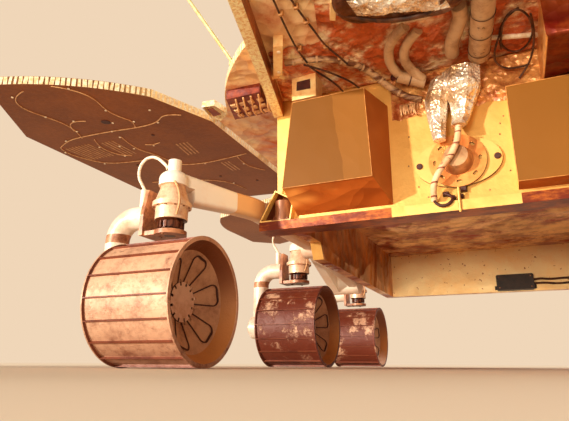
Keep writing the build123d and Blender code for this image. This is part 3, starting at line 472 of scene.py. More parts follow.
# First corner of each panel of heater strips, then the number of strips, their length and slant
heater_panels = (
    (1.118, -0.5, 8, 0.1, -0.01),
    (0.985, -0.49, 4, 0.105, -0.004),
    (0.785, -0.395, 4, 0.085, 0.012),
    (0.735, -0.215, 3, 0.08, 0),
)
strip_pitch = 0.0125
strip_width = 0.005
for side_name, side in sides:
    body = "wing_front_" + side_name
    routes = [[(side * x, y, wing_foot - 0.0008) for x, y in wire] for wire in wing_wires]
    add_wires(body + "_wiring", routes, 0.0014, wire_sheath, body)
    dots = [(point, (0, 0, -1)) for route in routes for point in route[1:-1:2]]
    spots = ((0.905, -0.5), (0.86, -0.58), (0.72, -0.6), (0.95, -0.45))
    dots += [((side * x, y, wing_foot), (0, 0, -1)) for x, y in spots]
    add_bolts(body + "_ties", dots, 0.0032, tie_white, 8, 0.6, body)
    hole = [((side * 0.874, -0.592, wing_foot), (0, 0, -1))]
    add_bolts(body + "_grommet", hole, 0.0125, rubber, 20, 0.12, body)
    spots = ((0.807, -0.474), (0.999, -0.305), (0.8, -0.107), (0.7, -0.02))
    studs = [((side * x, y, wing_foot), (0, 0, -1)) for x, y in spots]
    add_bolts(body + "_studs", studs, 0.005, rubber, 12, 0.4, body)
    strips = []
    for x, y, count, length, slant in heater_panels:
        for row in range(count):
            near = x - row * strip_pitch
            far = near - strip_width
            outline = ((near, y), (far, y), (far + slant, y + length), (near + slant, y + length))
            strips.append([(side * u, v, wing_foot) for u, v in outline])
    add_slabs(body + "_heaters", strips, (0, 0, -0.0006), 0.0002, strip_film, body)


# Cut edges of the panels
# Open honeycomb cells of thin bright metal along every edge of the wings and of the deck's front.
# They are the panels' own core, bare where it was sawn.
edge_metal = mottled("edge_metal", 0.35, (236, 196, 140), (255, 246, 216), 120, 2, 0.1)
cell_pitch = 0.0135


def add_cells(node, body):
    """Cell walls along the side faces of a flat panel's mesh, half a millimetre proud of them."""
    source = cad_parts[node].data
    floor = min(v.co.z for v in source.vertices)
    runs = []
    for face in source.polygons:
        if abs(face.normal.z) > 0.3 or face.center.z > floor + 0.0225:
            continue
        corners = [source.vertices[i].co for i in face.vertices]
        feet = [c for c in corners if c.z < floor + 1e-5]
        heads = [c for c in corners if c.z > floor + 0.02]
        if len(feet) >= 2 and heads:
            height = max(h.z for h in heads) - floor
            runs.append((feet[0].copy(), feet[-1].copy(), face.normal.copy(), height))
    shape = bmesh.new()
    for start, end, out, height in runs:
        length = (end - start).length
        count = max(1, round(length / cell_pitch))
        if length < 0.004:
            continue
        for step in range(count):
            centre = start.lerp(end, (step + 0.5) / count)
            run = (end - start).normalized()
            wide = random.uniform(0.25, 0.42) * length / count
            lean = random.uniform(-0.08, 0.08) * length / count
            corners = []
            for lift in (0.0009, height - 0.0009):
                shift = run * (lean if lift < 0.01 else -lean)
                for sign in (-1, 1):
                    corners.append(centre + run * wide * sign + shift + Vector((0, 0, lift)))
            low = [shape.verts.new(c) for c in corners]
            high = [shape.verts.new(c + out * 0.0006) for c in corners]
            shape.faces.new((high[0], high[1], high[3], high[2]))
            for a, b in ((0, 1), (1, 3), (3, 2), (2, 0)):
                shape.faces.new((low[a], low[b], high[b], high[a]))
    finish_mesh(shape, node + "_cells", edge_metal, body)


random.seed(4)
for wing in wings:
    add_cells(wing, wing)
add_cells("deck", "root")


# Rails under the deck's front
# Two boards of the same sandwich, screwed on edge below the deck. Their sawn outer faces are cream
# and speckled, and brown foil covers the inner ones.
rail_skin, s = new_finish("rail_skin", 0.5, 0.1)
outer = (s.facing("-X") * s.at("X").maths("SIGN")).band(0.4, 0.7)
speckle = s.cloud(130, 5, 0.75).band(0.4, 0.56)
band = s.cloud(9, 3, 0.5, s.place().stretch(1, 1, 4)).band(0.35, 0.65)
cut_tone = (speckle * 0.7 + band * 0.3).mix((226, 170, 100), (255, 244, 190))
brown = s.cloud(11, 6, 0.7).band(0.35, 0.7).mix((136, 66, 24), (220, 134, 66))
feed(outer.mix(cut_tone, brown))
emboss(speckle * 0.3 + s.cloud(30) * 0.7, 0.4, 0.002)
dress(rail_skin, "front_rails")


# Lip, corner frames and oval plate
# Satin gold plates, folded from sheet and screwed to the body. The lip is darker towards its ends,
# and its faces other than the front take the darker tone too, which on its underside is painted
# shade. An upright steel damper stands in each corner frame, and the frames' parts inside the
# wall's pockets are painted dark as shade.
plate_gold, s = new_finish("plate_gold", 0.35, 0.3)
face = s.facing("-Y").band(0.4, 0.7)
bright = s.cloud(12, 5, 0.7).band().mix((236, 172, 84), (248, 200, 112))
grain = s.cloud(22, 6, 0.75, s.place().stretch(0.6, 1, 2)).band(0.4, 0.64)
# Darker tone for the lip's ends and its faces other than the front; on the underside it is painted
# shade.
darker_tone = grain.mix((112, 34, 4), (190, 100, 30))
feed(face.mix(darker_tone, (abs(s.at("X")) < 0.125).mix(darker_tone, bright)))
emboss(s.cloud(24, 3), 0.25, 0.004)
dress(plate_gold, "front_flange")
frame_gold, s = new_finish("frame_gold", 0.35, 0.2)
deep = s.at("Y") > -0.5
height = s.at("Z")
damper = (abs(abs(s.at("X")) - 0.382) < 0.0225) * (height > 0.327) * (height < 0.3775)
cream = s.cloud(14, 5, 0.7).band().mix((244, 190, 102), (252, 212, 128))
# Parts inside the wall's pockets are painted dark as shade.
inner = s.cloud(20, 5).band().mix((120, 50, 16), (186, 104, 48))
steel = s.cloud(9, 5, 0.6, s.place().stretch(6, 6, 1)).band().mix((112, 62, 40), (176, 118, 84))
feed(damper.mix(deep.mix(cream, inner), steel))
emboss(s.cloud(24, 3), 0.2, 0.003)
dress(frame_gold, "corner_fitting_right", "corner_fitting_left")
oval_plate, s = new_finish("oval_plate", 0.38, 0.25)
face = s.facing("-Y").band(0.4, 0.8)
skin = s.cloud(12, 5, 0.7).band().mix((234, 176, 92), (244, 194, 110))
feed(face.mix((84, 26, 10), skin))
emboss(s.cloud(40, 3), 0.2, 0.002)
dress(oval_plate, "shoulder_plate")


# Boxes under the deck
# A dark red tray of cable connectors beside the right rail and two small cream boxes, one with a
# dark window. All are screwed up into the deck.
box_skin, s = new_finish("box_skin", 0.42, 0.1)
tray = s.at("X") < -0.39
cream = s.cloud(20, 6, 0.7).band(0.35, 0.7).mix((255, 222, 156), (236, 170, 100))
red = s.cloud(34, 6, 0.7).band(0.35, 0.65).mix((96, 14, 6), (150, 62, 28))
feed(tray.mix(cream, red))
emboss(s.crumple(26), 0.35, 0.003)
dress(box_skin, "junction_boxes")
tray_foot = 0.616
sockets = []
for row in range(3):
    for column in range(4):
        x = -0.5 + 0.024 * column + 0.004 * row
        y = -0.515 - 0.026 * row
        outline = ((x, y), (x + 0.015, y - 0.001), (x + 0.016, y - 0.014), (x + 0.001, y - 0.013))
        sockets.append([(u, v, tray_foot) for u, v in outline])
add_slabs("tray_connectors", sockets, (0, 0, -0.004), 0.002, wire_sheath)
leads = []
for step in range(5):
    x = -0.488 + 0.02 * step
    leads.append([
        (x, -0.52, 0.608), (x + 0.004, -0.548, 0.601), (x + 0.016, -0.572, 0.604),
        (x + 0.026, -0.604, 0.611)
    ])
add_wires("tray_leads", leads, 0.0022, wire_sheath)
pane = (
    (-0.306, -0.6015, 0.6), (-0.272, -0.6025, 0.598), (-0.273, -0.6025, 0.622),
    (-0.305, -0.6015, 0.622)
)
add_slabs("panel_box_window", [pane], (0, -0.0012, 0), 0.0004, rubber)
places = ((-0.32, -0.668, 0.614), (-0.29, -0.735, 0.614), (-0.285, -0.58, 0.578))
screws = [(place, (0, 0, -1)) for place in places]
add_bolts("box_screws", screws, 0.004, tie_white, 8, 0.6)


# Hoods and the box over the left hood
# Bronze foil pulled taut over light frames. The faces are painted dark, a painted reflection of
# the dark surroundings; the slanted sides towards the light are painted bright and the others carry
# painted shade; and the undersides are creased where the foil is tucked in, with painted shade in
# the creases.
hood_foil, s = new_finish("hood_foil", 0.5, 0.1, specular=0.15)
face = s.facing("-Y").band(0.75, 0.97)
under = s.facing("-Z").band(0.05, 0.3)
lit = s.facing("-X").band(0.1, 0.35)
# The faces are painted dark, a painted reflection of the dark surroundings, in two tones either
# side of a fold.
crease = s.at("X") + s.at("Z") * 0.12 + s.cloud(7, 3) * 0.03 > -0.14
fold = crease.mix((122, 76, 24), (138, 88, 32))
fold = (s.cloud(4, 2).band() * 0.3).mix(fold, (108, 68, 20))
sunny = s.cloud(12, 4).band().mix((244, 190, 96), (250, 208, 118))
# Painted shade in the undersides' creases.
crease_shade = s.crumple(7).band(0.25, 0.75).mix((250, 164, 80), (190, 96, 34))
shade_side = s.cloud(5, 3).band(0.35, 0.65).mix((176, 98, 40), (208, 126, 60))
feed(lit.mix(under.mix(face.mix(shade_side, fold), crease_shade), sunny))
emboss(s.crumple(7) * (under * 0.9 + 0.1), 0.9, 0.02)
dress(hood_foil, "hood_right", "hood_left")
bay_foil, s = new_finish("bay_foil", 0.34, 0.45)
lit = s.facing("-X").band(0.3, 0.6)
low = s.at("Z").band(0.63, 0.57)
tone = low.mix((138, 62, 18), (104, 12, 4))
tone = (s.cloud(14, 6, 0.7).band(0.4, 0.7) * 0.5).mix(tone, (176, 92, 34))
feed(lit.mix(tone, (236, 170, 96)))
emboss(s.crumple(16), 0.8, 0.01)
dress(bay_foil, "front_bay")


# Shoulder fitting
# An orange metal ring with slots around a dull grey-brown cone, all turned from bar. Its deepest
# part, down in the slots, is painted dark red as shade. Two dark bolts hold it and the oval plate
# to the wall.
ring_metal, s = new_finish("ring_metal", 0.35, 0.45)
cone = s.at("Y") < -0.5155
# The deepest part, down in the slots, is painted dark red as shade.
floor = s.at("Y") > -0.514
ring_tone = s.cloud(30).band().mix((206, 118, 54), (244, 166, 88))
cone_tone = s.cloud(26, 5).band().mix((150, 100, 62), (216, 170, 124))
feed(floor.mix(cone.mix(ring_tone, cone_tone), (92, 14, 6)))
emboss(s.cloud(50, 4), 0.3, 0.002)
dress(ring_metal, "shoulder_fitting")
heads = [((0.015 + side * 0.077, -0.508, 0.412), (0, -1, 0)) for side in (-1, 1)]
add_bolts("shoulder_bolts", heads, 0.0068, rubber, 10, 0.5)


# Arms and forks
# Metal arms and bent fork tubes in cream-white paint, a little dusty; the arms' undersides carry
# painted shade. Each rocker is painted peach as shade where it leaves the body's corner, and each
# fork hangs from a plate painted dark brown as shade.
wheel_x = 0.5475
arm_paint, s = new_finish("arm_paint", 0.4)
dust = s.cloud(9, 6, 0.7).band(0.45, 0.75)
# Random dust, plus painted shade on the arms' undersides.
below = s.facing("-Z").band(0.1, 0.9)
# Peach painted shade on each rocker where it leaves the body's corner.
collar = (s.at("Y") > -0.568) * (s.at("Y") < -0.48) * (s.at("Z") > 0.33)
plain = (dust * 0.5 + below * 0.5).mix((255, 247, 232), (236, 188, 146))
feed((collar * (abs(s.at("X")) < 0.5)).mix(plain, (240, 188, 132)))
emboss(s.cloud(60, 3), 0.2, 0.0015)
fork_paint, s = new_finish("fork_paint", 0.42, 0.05)
dust = s.cloud(9, 6, 0.7).band(0.4, 0.72)
plate_near, plate_far = 0.044, 0.0585
plate_foot, plate_top = 0.2555, 0.2745
out = abs(s.at("X")) - wheel_x
upright = (out > plate_near) * (out < plate_far)
plate = (upright + (s.at("Z") < plate_top)) * (s.at("Z") > plate_foot)
# The fork's plate is painted dark brown in blotches, as shade.
plate_shade = s.cloud(26, 6, 0.75).band(0.36, 0.68).mix((214, 150, 108), (128, 70, 44))
feed(plate.mix(dust.mix((255, 242, 222), (228, 172, 134)), plate_shade))
emboss(s.cloud(60, 3), 0.2, 0.0015)


# Steering and wheel drives
# Round housings of dusty pinkish metal over a gear painted dark as shade. A ring of small screws
# holds each steering drive in its arm, and larger ones hold the fork's plates.
gear_foot, gear_top = 0.262, 0.2945
axle_pitch = 0.705
axles = (("front", -axle_pitch), ("middle", 0), ("rear", axle_pitch))
wheels = [(f"{axle}_{name}", side, y) for name, side in sides for axle, y in axles]


def bolt_circle(centre, radius, count, way, phase=0):
    """Places for screws in a circle around a point, all with their heads one way."""
    places = []
    for step in range(count):
        angle = math.tau * (step + phase) / count
        across, up = radius * math.cos(angle), radius * math.sin(angle)
        offset = (0, across, up) if way[0] else (across, up, 0)
        places.append((Vector(centre) + Vector(offset), way))
    return places


drive_metal, s = new_finish("drive_metal", 0.4, 0.2)
dust = s.cloud(22, 6, 0.75).band(0.35, 0.7)
gear = (s.at("Z") < gear_top) * (s.at("Z") > gear_foot)
edge = s.cloud(70, 3).band(0.45, 0.6)
# The gear is painted dark in blotches, as shade.
gear_shade = edge.mix((110, 58, 34), (56, 22, 12))
feed(gear.mix(dust.mix((250, 222, 190), (206, 144, 104)), gear_shade))
emboss(s.cloud(50, 4), 0.25, 0.002)
cap_metal = mottled("cap_metal", 0.4, (176, 120, 84), (96, 54, 36), 90, 3, 0.3, 0, 0.35, 0.65)
for side_name, side in sides:
    dress(arm_paint, "rocker_" + side_name, "bogie_" + side_name)
    dress(drive_metal, "steering_drives_" + side_name)
for wheel, side, axle_y in wheels:
    dress(fork_paint, "fork_" + wheel)
    dress(drive_metal, "drive_" + wheel)
    rim = bolt_circle((side * wheel_x, axle_y, 0.322), 0.0375, 12, (0, 0, -1), 0.5)
    add_bolts("drive_bolts_" + wheel, rim, 0.0022, cap_metal, 6, 1)
    bolts = []
    for y, z in ((-0.013, 0.352), (0.013, 0.352), (-0.018, 0.285), (0.018, 0.285)):
        bolts.append(((side * (wheel_x + 0.057), axle_y + y, z), (side, 0, 0)))
    for x, y in ((-0.024, 0), (0, 0.026), (0, -0.026)):
        bolts.append(((side * wheel_x + x, axle_y + y, gear_foot), (0, 0, -1)))
    add_bolts("fork_bolts_" + wheel, bolts, 0.0034, cap_metal, body="steer_" + wheel)


# Wheels
# Thin metal drums, dusty in front and muddy behind, with painted shadow along their ribs and
# painted shade towards their bottoms. A grey-brown dish with hairpin springs carries the pale,
# notched hub, and an orange cone, darker towards its top, joins it to the rim. The springs and
# notches are painted dark as shade.
wheel_radius = 0.125
hub_reach, dish_reach, drum_reach = 0.0392, 0.1002, 0.1165
rib_reach, rib_end = 0.1207, 0.0945
dish_face = -0.034
wheel_skin, s = new_finish("wheel_skin", 0.5, 0.1)
out = abs(s.at("X")) - wheel_x
forward = abs((s.at("Y") + axle_pitch / 2) % axle_pitch - axle_pitch / 2)
rise = s.at("Z") - wheel_radius
reach = (forward * forward + rise * rise).root()
drum = reach > drum_reach
# The ribs are painted dark, a painted shadow along them.
rib_shadow = (reach > rib_reach) * (abs(out) < rib_end)
dish = (reach > hub_reach) * (reach < dish_reach) * (out < dish_face)
cone = (reach > dish_reach) * (reach < 0.1172) * (out < dish_face)
# The springs and the hub's notches are painted dark as shade.
spring = dish * (out + (reach - 0.039) * 0.475 < -0.04)
notch = (reach < 0.0396) * (reach > 0.03) * (out > -0.0405) * (out < dish_face)
muddy = (s.at("Y") > -0.3) * 0.58
grime = s.cloud(16, 8, 0.75).band(0.42, 0.72)
mud = (s.cloud(11, 8, 0.8) + muddy * 0.35).band(0.58, 0.68)
scratch = s.cloud(70, 4, 0.7).band(0.45, 0.7)
# Painted shade towards the bottom of the drum.
low = rise.band(-0.03, -0.12)
skin_tone = (grime * 0.6 + scratch * 0.25 + low * 0.5).mix((224, 176, 142), (134, 78, 52))
skin_tone = mud.mix(skin_tone, (108, 42, 20))
drum_tone = rib_shadow.mix(skin_tone, grime.mix((132, 66, 40), (84, 28, 12)))
dish_tone = grime.mix((208, 158, 120), (156, 104, 74))
hub_tone = grime.mix((236, 194, 164), (204, 152, 120))
cone_tone = rise.band(-0.05, 0.08).mix((206, 138, 76), (120, 62, 28))
tone = drum.mix(cone.mix(dish.mix(hub_tone, dish_tone), cone_tone), drum_tone)
feed((spring + notch).mix(tone, (62, 24, 12)))
emboss(grime * 0.5 + scratch + mud, 0.4, 0.0015)
for wheel, side, axle_y in wheels:
    dress(wheel_skin, "wheel_" + wheel)


# Canister under the deck's point
# The mast's root, a can wrapped in dark foil. Crumpled silver film is taped over its face, and
# black foam hoops are pulled around it.
dark_foil, s = new_finish("dark_foil", 0.35, 0.4)
feed(s.cloud(12, 5).band().mix((52, 20, 10), (120, 66, 32)))
emboss(s.crumple(22), 1, 0.01)
dress(dark_foil, "mast_canister")
silver, s = new_finish("silver", 0.26, 0.6)
feed(s.cloud(26, 5).band(0.35, 0.65).mix((214, 176, 132), (255, 248, 232)))
emboss(s.crumple(60), 0.9, 0.006)
dress(silver, "foil_wrap")
edge = ((-0.115, -0.842), (0.035, -0.802), (0.046, -0.752), (-0.108, -0.795))
edge = [(x, y, 0.5998) for x, y in edge]
add_foil("canister_film", edge, -0.0085, 0.02, silver, 0.12)
black_rubber, s = new_finish("black_rubber", 0.5)
feed(s.cloud(50, 4).band(0.35, 0.7).mix((40, 14, 8), (104, 60, 34)))
emboss(s.cloud(90, 3), 0.3, 0.002)
hoops = (
    (
        (0.06, -0.82, 0.604), (0.03, -0.76, 0.6), (-0.03, -0.752, 0.6), (-0.1, -0.778, 0.602),
        (-0.14, -0.812, 0.606)
    ),
    ((0.075, -0.8, 0.61), (0.06, -0.755, 0.606), (0.02, -0.738, 0.608), (-0.06, -0.745, 0.612)),
)
add_wires("canister_hoops", hoops, 0.0055, black_rubber)


# Sensor boxes
# Black moulded boxes, each held by screws at its edges. The one in the belly has two leads along
# the rear wall, and the one behind has two round glass eyes.
black_box, s = new_finish("black_box", 0.5)
feed(s.cloud(40).band().mix((24, 14, 10), (52, 34, 24)))
emboss(s.cloud(140, 2), 0.15, 0.0008)
dress(black_box, "belly_sensor", "rear_sensor")
glass = mottled("glass", 0.08, (10, 10, 22), (30, 22, 40), 12, coat=1)
leads = (
    (
        (0.165, 0.575, 0.318), (0.19, 0.578, 0.324), (0.225, 0.583, 0.318), (0.285, 0.585, 0.322),
        (0.39, 0.585, 0.318)
    ),
    (
        (0.165, 0.578, 0.304), (0.2, 0.582, 0.308), (0.25, 0.585, 0.3), (0.32, 0.586, 0.306),
        (0.39, 0.586, 0.3)
    ),
)
add_wires("belly_leads", leads, 0.004, black_rubber)
rear_face = 0.67
eyes = [((x, rear_face, 0.56), (0, 1, 0)) for x in (-0.07, 0.07)]
add_bolts("rear_eye_rims", eyes, 0.024, cap_metal, 28, 0.25)
eyes = [((x, 0.6755, 0.56), (0, 1, 0)) for x in (-0.07, 0.07)]
add_bolts("rear_eyes", eyes, 0.019, glass, 28, 0.15)
screws = [((x, rear_face, z), (0, 1, 0)) for x in (-0.1, 0, 0.1) for z in (0.54, 0.58)]
add_bolts("rear_sensor_screws", screws, 0.003, cap_metal)
belly_face = 0.552
screws = [
    ((0.105 + x, belly_face, 0.311 + z), (0, -1, 0)) for x in (-0.055, 0.055) for z in (-0.02, 0.02)
]
add_bolts("belly_sensor_screws", screws, 0.003, cap_metal)


# Masts, camera head and dish antenna
# Metal tubes and housings in white paint, dusty and a little chipped. The mast and the antenna's
# post are bolted to the deck by round flanges.
white_paint, s = new_finish("white_paint", 0.4)
chip = s.cloud(70, 5, 0.7).band(0.66, 0.7)
dusty = s.cloud(8, 6, 0.7).band(0.4, 0.75).mix((252, 242, 226), (226, 198, 164))
feed(chip.mix(dusty, (180, 150, 120)))
emboss(s.cloud(60, 3), 0.15, 0.001)
dress(white_paint, "mast_column", "mast_head", "camera_bar", "low_gain_antenna")
dress(white_paint, "antenna_post", "antenna_yoke", "antenna_dish")


# Rod antennas
# Two slim rods of satin brass, which stand aslant in bright clamps on the deck's front corners.
rod_metal, s = new_finish("rod_metal", 0.35, 0.3)
feed(s.cloud(60).band().mix((222, 196, 120), (252, 240, 186)))
emboss(s.cloud(100), 0.1, 0.0006)
dress(rod_metal, "rod_antenna")


# Hoses, harness and strand
# Smooth grey-beige hoses, a bundle of leads tied by straps, and a thin strand in pale tape. They
# are held under the deck and along the front wall.
hose_rubber, s = new_finish("hose_rubber", 0.48)
main = s.at("X") > 0.07
scuff = s.cloud(24, 6, 0.7).band(0.4, 0.7)
mark = s.cloud(60, 3, 0.6).band(0.6, 0.64) * main
worn = scuff.mix((200, 160, 118), (156, 112, 74))
feed((mark * 0.7).mix(worn, (88, 46, 24)))
emboss(s.cloud(40, 4), 0.35, 0.003)
dress(hose_rubber, "conduits")
bundle, s = new_finish("bundle", 0.5)
line = s.cloud(60, 3, 0.5, s.place().stretch(0.35, 1, 1.6)).band(0.4, 0.6)
feed(line.mix((196, 152, 108), (104, 58, 30)))
emboss(line, 0.7, 0.003)
dress(bundle, "harness")
strand_tape, s = new_finish("strand_tape", 0.5)
band = s.at("Z") % 0.024 < 0.0028
pale = s.cloud(30).band().mix((250, 214, 172), (222, 168, 122))
feed((band + s.cloud(70, 4).band(0.56, 0.62) * 0.6).mix(pale, (132, 66, 40)))
emboss(band * 0.7 + s.cloud(70, 3), 0.4, 0.002)
dress(strand_tape, "shoulder_strand")


# Steering drives' cables
# White sheathed cable in one loop from each arm's neck into the gland on the fork.
cable_sheath, s = new_finish("cable_sheath", 0.45)
wrap = s.at("Z") % 0.012 < 0.0015
dust = s.cloud(50).band(0.4, 0.7)
feed((wrap * 0.4 + dust * 0.6).mix((255, 240, 218), (206, 158, 122)))
emboss(wrap * 0.5 + s.cloud(120), 0.25, 0.001)
cable_radius = 0.0035
# Distance outboard of the steering axis, and height, of each point of the loop
loop = (
    (0.0175, 0.416), (0.036, 0.436), (0.06, 0.45), (0.084, 0.447),
    (0.097, 0.428), (0.096, 0.404), (0.084, 0.386), (0.076, 0.372),
)
# Distance outboard and behind the steering axis, and height, of each point of a strap
strap_line = (
    (-0.02, 0.024, 0.372), (-0.034, 0.03, 0.356), (-0.041, 0.031, 0.334),
    (-0.04, 0.03, 0.316), (-0.03, 0.024, 0.3),
)


def add_cable(name, side, axle_y, body):
    """One cable as a mesh tube, in a loop from the arm's neck to the fork."""
    curve = smooth_curve(name, [[(side * (wheel_x + out), axle_y, z) for out, z in loop]], 8)
    route = bpy.data.objects.new(name + "_route", curve)
    line = bpy.data.meshes.new_from_object(route)
    curve.bevel_depth = cable_radius
    curve.bevel_resolution = 3
    tube = bpy.data.meshes.new_from_object(route)
    bpy.data.objects.remove(route)
    for face in tube.polygons:
        face.use_smooth = True
    tube.materials.clear()
    tube.materials.append(cable_sheath)
    cable = bpy.data.objects.new(name, tube)
    scene.collection.objects.link(cable)
    start, end = [(side * (wheel_x + out), axle_y, 0.4) for out in (0.02, 0.074)]
    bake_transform(cable)
    return cable


for wheel, side, axle_y in wheels:
    cable = add_cable("drive_cable_" + wheel, side, axle_y, "steer_" + wheel)
    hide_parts("drive_cables")
    neck = [((side * (wheel_x + 0.0145), axle_y, 0.4135), (side * 0.7, 0, 0.7))]
    add_bolts("cable_collar_" + wheel, neck, 0.0062, tie_white, 16, 0.9)
for side_name, side in sides:
    straps = []
    for axle, axle_y in axles:
        straps.append([(side * (wheel_x + out), axle_y - back, z) for out, back, z in strap_line])
    add_wires("drive_straps_" + side_name, straps, 0.0024, wire_sheath)


# Small wiring under the deck's front
# Thin dark leads held by film clips, straps and bands around the harness and hoses, a spare loop,
# a white tube, loose ends over the foil, and the rails' two cream brackets.
def rectangle(left, right, front, back, z):
    """The corners of a level plate."""
    return [(left, front, z), (right, front, z), (right, back, z), (left, back, z)]


thin_wires = (
    (
        (-0.24, -0.905, 0.633), (-0.243, -0.86, 0.631), (-0.252, -0.8, 0.63),
        (-0.258, -0.745, 0.63), (-0.262, -0.69, 0.629), (-0.255, -0.664, 0.622)
    ),
    (
        (-0.216, -0.88, 0.633), (-0.214, -0.82, 0.631), (-0.208, -0.76, 0.63),
        (-0.204, -0.7, 0.629), (-0.19, -0.655, 0.628), (-0.178, -0.628, 0.621)
    ),
    (
        (-0.255, -0.664, 0.617), (-0.246, -0.632, 0.616), (-0.228, -0.6, 0.612),
        (-0.214, -0.57, 0.604), (-0.206, -0.54, 0.596)
    ),
    (
        (-0.262, -0.668, 0.617), (-0.232, -0.64, 0.614), (-0.204, -0.604, 0.611),
        (-0.18, -0.572, 0.606), (-0.172, -0.548, 0.6)
    ),
    (
        (0.123, -0.545, 0.628), (0.123, -0.6, 0.624), (0.131, -0.652, 0.625),
        (0.152, -0.672, 0.627), (0.174, -0.64, 0.625), (0.182, -0.59, 0.623), (0.172, -0.54, 0.625),
        (0.15, -0.52, 0.627), (0.126, -0.545, 0.629), (0.119, -0.592, 0.63), (0.132, -0.646, 0.63),
        (0.156, -0.664, 0.631)
    ),
    (
        (0.176, -0.64, 0.629), (0.184, -0.59, 0.624), (0.178, -0.55, 0.6), (0.166, -0.524, 0.585),
        (0.15, -0.516, 0.57)
    ),
    (
        (0.12, -0.6, 0.622), (0.106, -0.56, 0.612), (0.112, -0.534, 0.598), (0.14, -0.52, 0.59),
        (0.172, -0.518, 0.596)
    ),
)
add_wires("thin_wires", thin_wires, 0.0021, black_rubber)
tube = [(x, y, 0.632) for x, y in ((0.1, -0.59), (0.138, -0.577), (0.178, -0.566), (0.189, -0.56))]
add_wires("pale_tube", [tube], 0.0055, tie_white)
clips = []
for x, y in (
    (-0.214, -0.826), (-0.256, -0.705), (-0.262, -0.672), (-0.204, -0.69),
    (-0.19, -0.64), (-0.247, -0.82), (-0.212, -0.78),
):
    clips.append(rectangle(x - 0.005, x + 0.005, y - 0.0035, y + 0.0035, 0.6375))
add_slabs("wire_clips", clips, (0, 0, -0.011), 0.002, strip_film)
strap_places = (
    ((-0.285, -0.666, 0.632), (1, 0.1, 0)),
    ((-0.237, -0.6545, 0.632), (1, 0.38, 0)),
    ((-0.192, -0.6285, 0.632), (1, 0.82, 0)),
    ((-0.157, -0.589, 0.63), (1, 1.5, -0.1)),
    ((-0.125, -0.548, 0.613), (1, 1, -0.9)),
    ((-0.091, -0.523, 0.587), (1, 0.4, -0.65)),
)
straps = [(Vector(point) - Vector(way).normalized() * 0.003, way) for point, way in strap_places]
add_bolts("harness_straps", straps, 0.0086, hose_rubber, 16, 0.7)
hose_bands = []
for x, y, lean in (
    (0.0965, -0.698, -0.11), (0.0895, -0.64, -0.12), (0.0825, -0.58, -0.1), (0.1032, -0.8, -0.06)
):
    hose_bands.append(((x, y, 0.6185), (lean, 1, 0)))
add_bolts("hose_bands", hose_bands, 0.0222, rubber, 28, 0.13)
sleeve_bands = [
    ((-0.064, -0.541, 0.604), (1, 0.4, -0.3)), ((-0.092, -0.556, 0.6145), (0.6, 1, -0.3))
]
add_bolts("sleeve_bands", sleeve_bands, 0.0138, rubber, 24, 0.22)
random.seed(11)
bunch = []
for step in range(14):
    x = -0.094 + 0.003 * step
    drop = random.uniform(0.01, 0.024)
    lean = random.uniform(-0.006, 0.006)
    bunch.append([
        (x, -0.503, 0.566),
        (x + lean, -0.512, 0.566 - drop * 0.3),
        (x + lean * 1.5, -0.516, 0.562 - drop),
        (x + lean * 2, -0.51, 0.556 - drop),
        (x + lean * 1.2, -0.504, 0.552 - drop * 0.4),
    ])
add_wires("loose_ends", bunch, 0.0019, wire_sheath)
slanted = ((-0.147, -0.832), (-0.165, -0.781), (-0.155, -0.776), (-0.137, -0.828))
brackets = [[(x, y, under_deck) for x, y in slanted]]
brackets.append(rectangle(-0.352, -0.33, -0.655, -0.64, under_deck))
add_slabs("rail_brackets", brackets, (0, 0, -0.022), 0.003, box_skin)


# Small parts on the front wall
# Dark clips and a gold pin on the lip, a dark lead out of the strand, rivets through the wall,
# screws in the corner frames, and bronze tape along the edges of the hoods' faces.
wall_y = -0.5003
lip_clips = []
for x, z, wide, high in (
    (-0.014, 0.341, 0.012, 0.008), (0.021, 0.346, 0.013, 0.011),
    (0.0005, 0.33, 0.007, 0.01), (0.017, 0.333, 0.006, 0.008),
):
    left, right = x - wide / 2, x + wide / 2
    outline = ((left, z), (right, z), (right, z + high), (left, z + high))
    lip_clips.append([(u, wall_y, v) for u, v in outline])
add_slabs("lip_clips", lip_clips, (0, -0.012, 0), 0.002, rubber)
lead = (
    (-0.037, -0.515, 0.333), (-0.036, -0.5225, 0.326), (-0.026, -0.524, 0.316),
    (-0.012, -0.5235, 0.316), (-0.002, -0.522, 0.324), (0, -0.516, 0.332),
    (-0.006, -0.512, 0.34), (-0.016, -0.511, 0.345),
)
add_wires("strand_lead", [lead], 0.0032, rubber)
rivet_places = (
    (-0.081, 0.488), (0.104, 0.485), (0.101, 0.461), (-0.068, 0.37), (-0.086, 0.42),
    (0.112, 0.38), (0.112, 0.5), (-0.05, 0.345), (0.07, 0.345),
)
rivets = [((x, -0.5002, z), (0, -1, 0)) for x, z in rivet_places]
add_bolts("wall_rivets", rivets, 0.0017, cap_metal, 8, 0.6)
screws = [((side * x, -0.5183, 0.331), (0, -1, 0)) for x in (0.4285, 0.365) for side in (-1, 1)]
add_bolts("pocket_screws", screws, 0.0018, cap_metal, 8, 0.6)
pin = [(0.012, -0.5212, 0.3), (0.012, -0.5212, 0.352)]
add_wires("lip_pin", [pin], 0.0028, plate_gold)
bronze_tape = mottled("bronze_tape", 0.4, (160, 98, 36), (214, 146, 72), 60)
seam_lines = []
for face_y, corners in (
    (-0.6, ((-0.143, 0.372), (-0.34, 0.372), (-0.317, 0.573), (-0.152, 0.573))),
    (-0.542, ((0.122, 0.342), (0.344, 0.342), (0.344, 0.543), (0.122, 0.543))),
):
    for start, end in zip(corners, corners[1:] + corners[:1]):
        seam_lines.append([(start[0], face_y, start[1]), (end[0], face_y, end[1])])
add_wires("hood_seams", seam_lines, 0.0009, bronze_tape)


